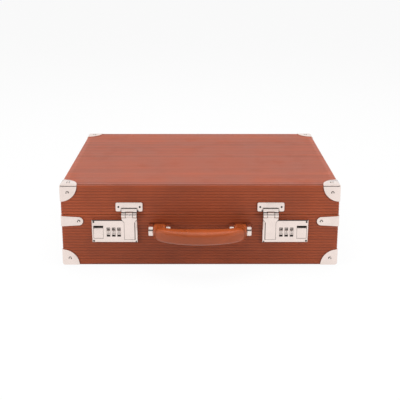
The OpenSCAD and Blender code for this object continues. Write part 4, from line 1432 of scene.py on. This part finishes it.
def white_world(scene, ambient):
    """White backdrop, softer where it lights the case, with a dark band that metal mirrors."""
    world = bpy.data.worlds.new("studio")
    world.use_nodes = True
    tree = world.node_tree
    tree.nodes.clear()
    path = tree.nodes.new("ShaderNodeLightPath").outputs
    seen = math_node(tree, "MAXIMUM", path["Is Camera Ray"], path["Is Glossy Ray"])
    seen = math_node(tree, "MAXIMUM", seen, path["Is Transmission Ray"])
    coords = tree.nodes.new("ShaderNodeTexCoord").outputs
    way = add_node(tree, "ShaderNodeSeparateXYZ", Vector=coords["Generated"]).outputs
    band = math_node(tree, "MULTIPLY", range_node(tree, way["Z"], *BAND_FOOT),
                     range_node(tree, way["Z"], *BAND_HEAD))
    band = math_node(tree, "MULTIPLY", band, range_node(tree, way["Y"], *BAND_SIDE))
    mirrored = math_node(tree, "MULTIPLY", band, path["Is Glossy Ray"])
    background = add_node(
        tree, "ShaderNodeBackground",
        Color=mix_colour(tree, mirrored, (1.0, 1.0, 1.0), BAND_COLOUR),
        Strength=range_node(tree, seen, 0.0, 1.0, ambient, 1.0))
    add_node(tree, "ShaderNodeOutputWorld", Surface=background.outputs["Background"])
    scene.world = world


# The dark band on the camera's side, as the polished metal mirrors it: its colour, and where
# it fades in and out, as parts of the direction
BAND_COLOUR = (0.05, 0.045, 0.042)
BAND_FOOT = (0.20, 0.28)
BAND_HEAD = (0.72, 0.62)
BAND_SIDE = (0.0, -0.25)


class BRIEFCASE_PT_panel(bpy.types.Panel):
    """Sizes and colours of the briefcase, and the steps that build it"""
    bl_idname = "BRIEFCASE_PT_panel"
    bl_label = "Watch Briefcase"
    bl_space_type = "VIEW_3D"
    bl_region_type = "UI"
    bl_category = "Briefcase"

    def draw(self, context):
        layout = self.layout
        for label, group in (("Leather", context.scene.briefcase_leather),
                             ("Metal", context.scene.briefcase_metal),
                             ("Lining", context.scene.briefcase_lining),
                             ("Stage", context.scene.briefcase_stage)):
            box = layout.box()
            box.label(text=label)
            for prop in group.bl_rna.properties:
                if prop.identifier not in ("rna_type", "name"):
                    box.prop(group, prop.identifier)
        for step in STEPS:
            layout.operator(step.bl_idname)


STEPS = (BRIEFCASE_OT_leather, BRIEFCASE_OT_hardware, BRIEFCASE_OT_dials, BRIEFCASE_OT_handle,
         BRIEFCASE_OT_interior, BRIEFCASE_OT_cushions, BRIEFCASE_OT_stage)
SETTINGS = (("briefcase_leather", LeatherSettings), ("briefcase_metal", MetalSettings),
            ("briefcase_lining", LiningSettings), ("briefcase_stage", StageSettings))
CLASSES = tuple(kind for _, kind in SETTINGS) + STEPS + (BRIEFCASE_PT_panel,)


def register():
    for kind in CLASSES:
        bpy.utils.register_class(kind)
    for name, kind in SETTINGS:
        setattr(bpy.types.Scene, name, PointerProperty(type=kind))


def unregister():
    for name, _ in SETTINGS:
        delattr(bpy.types.Scene, name)
    for kind in reversed(CLASSES):
        bpy.utils.unregister_class(kind)


def note_size(sizes, label):
    """Keeps the measured bounds as plain lists."""
    sizes[label] = [[round(v, 6) for v in corner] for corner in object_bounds()]


def main():
    sizes = {}
    note_size(sizes, "cad")
    register()
    bpy.ops.briefcase.leather()
    bpy.ops.briefcase.hardware()
    bpy.ops.briefcase.dials()
    bpy.ops.briefcase.handle()
    bpy.ops.briefcase.interior()
    bpy.ops.briefcase.cushions()
    bpy.ops.briefcase.stage()
    note_size(sizes, "finished")


if __name__ == "__main__":
    main()
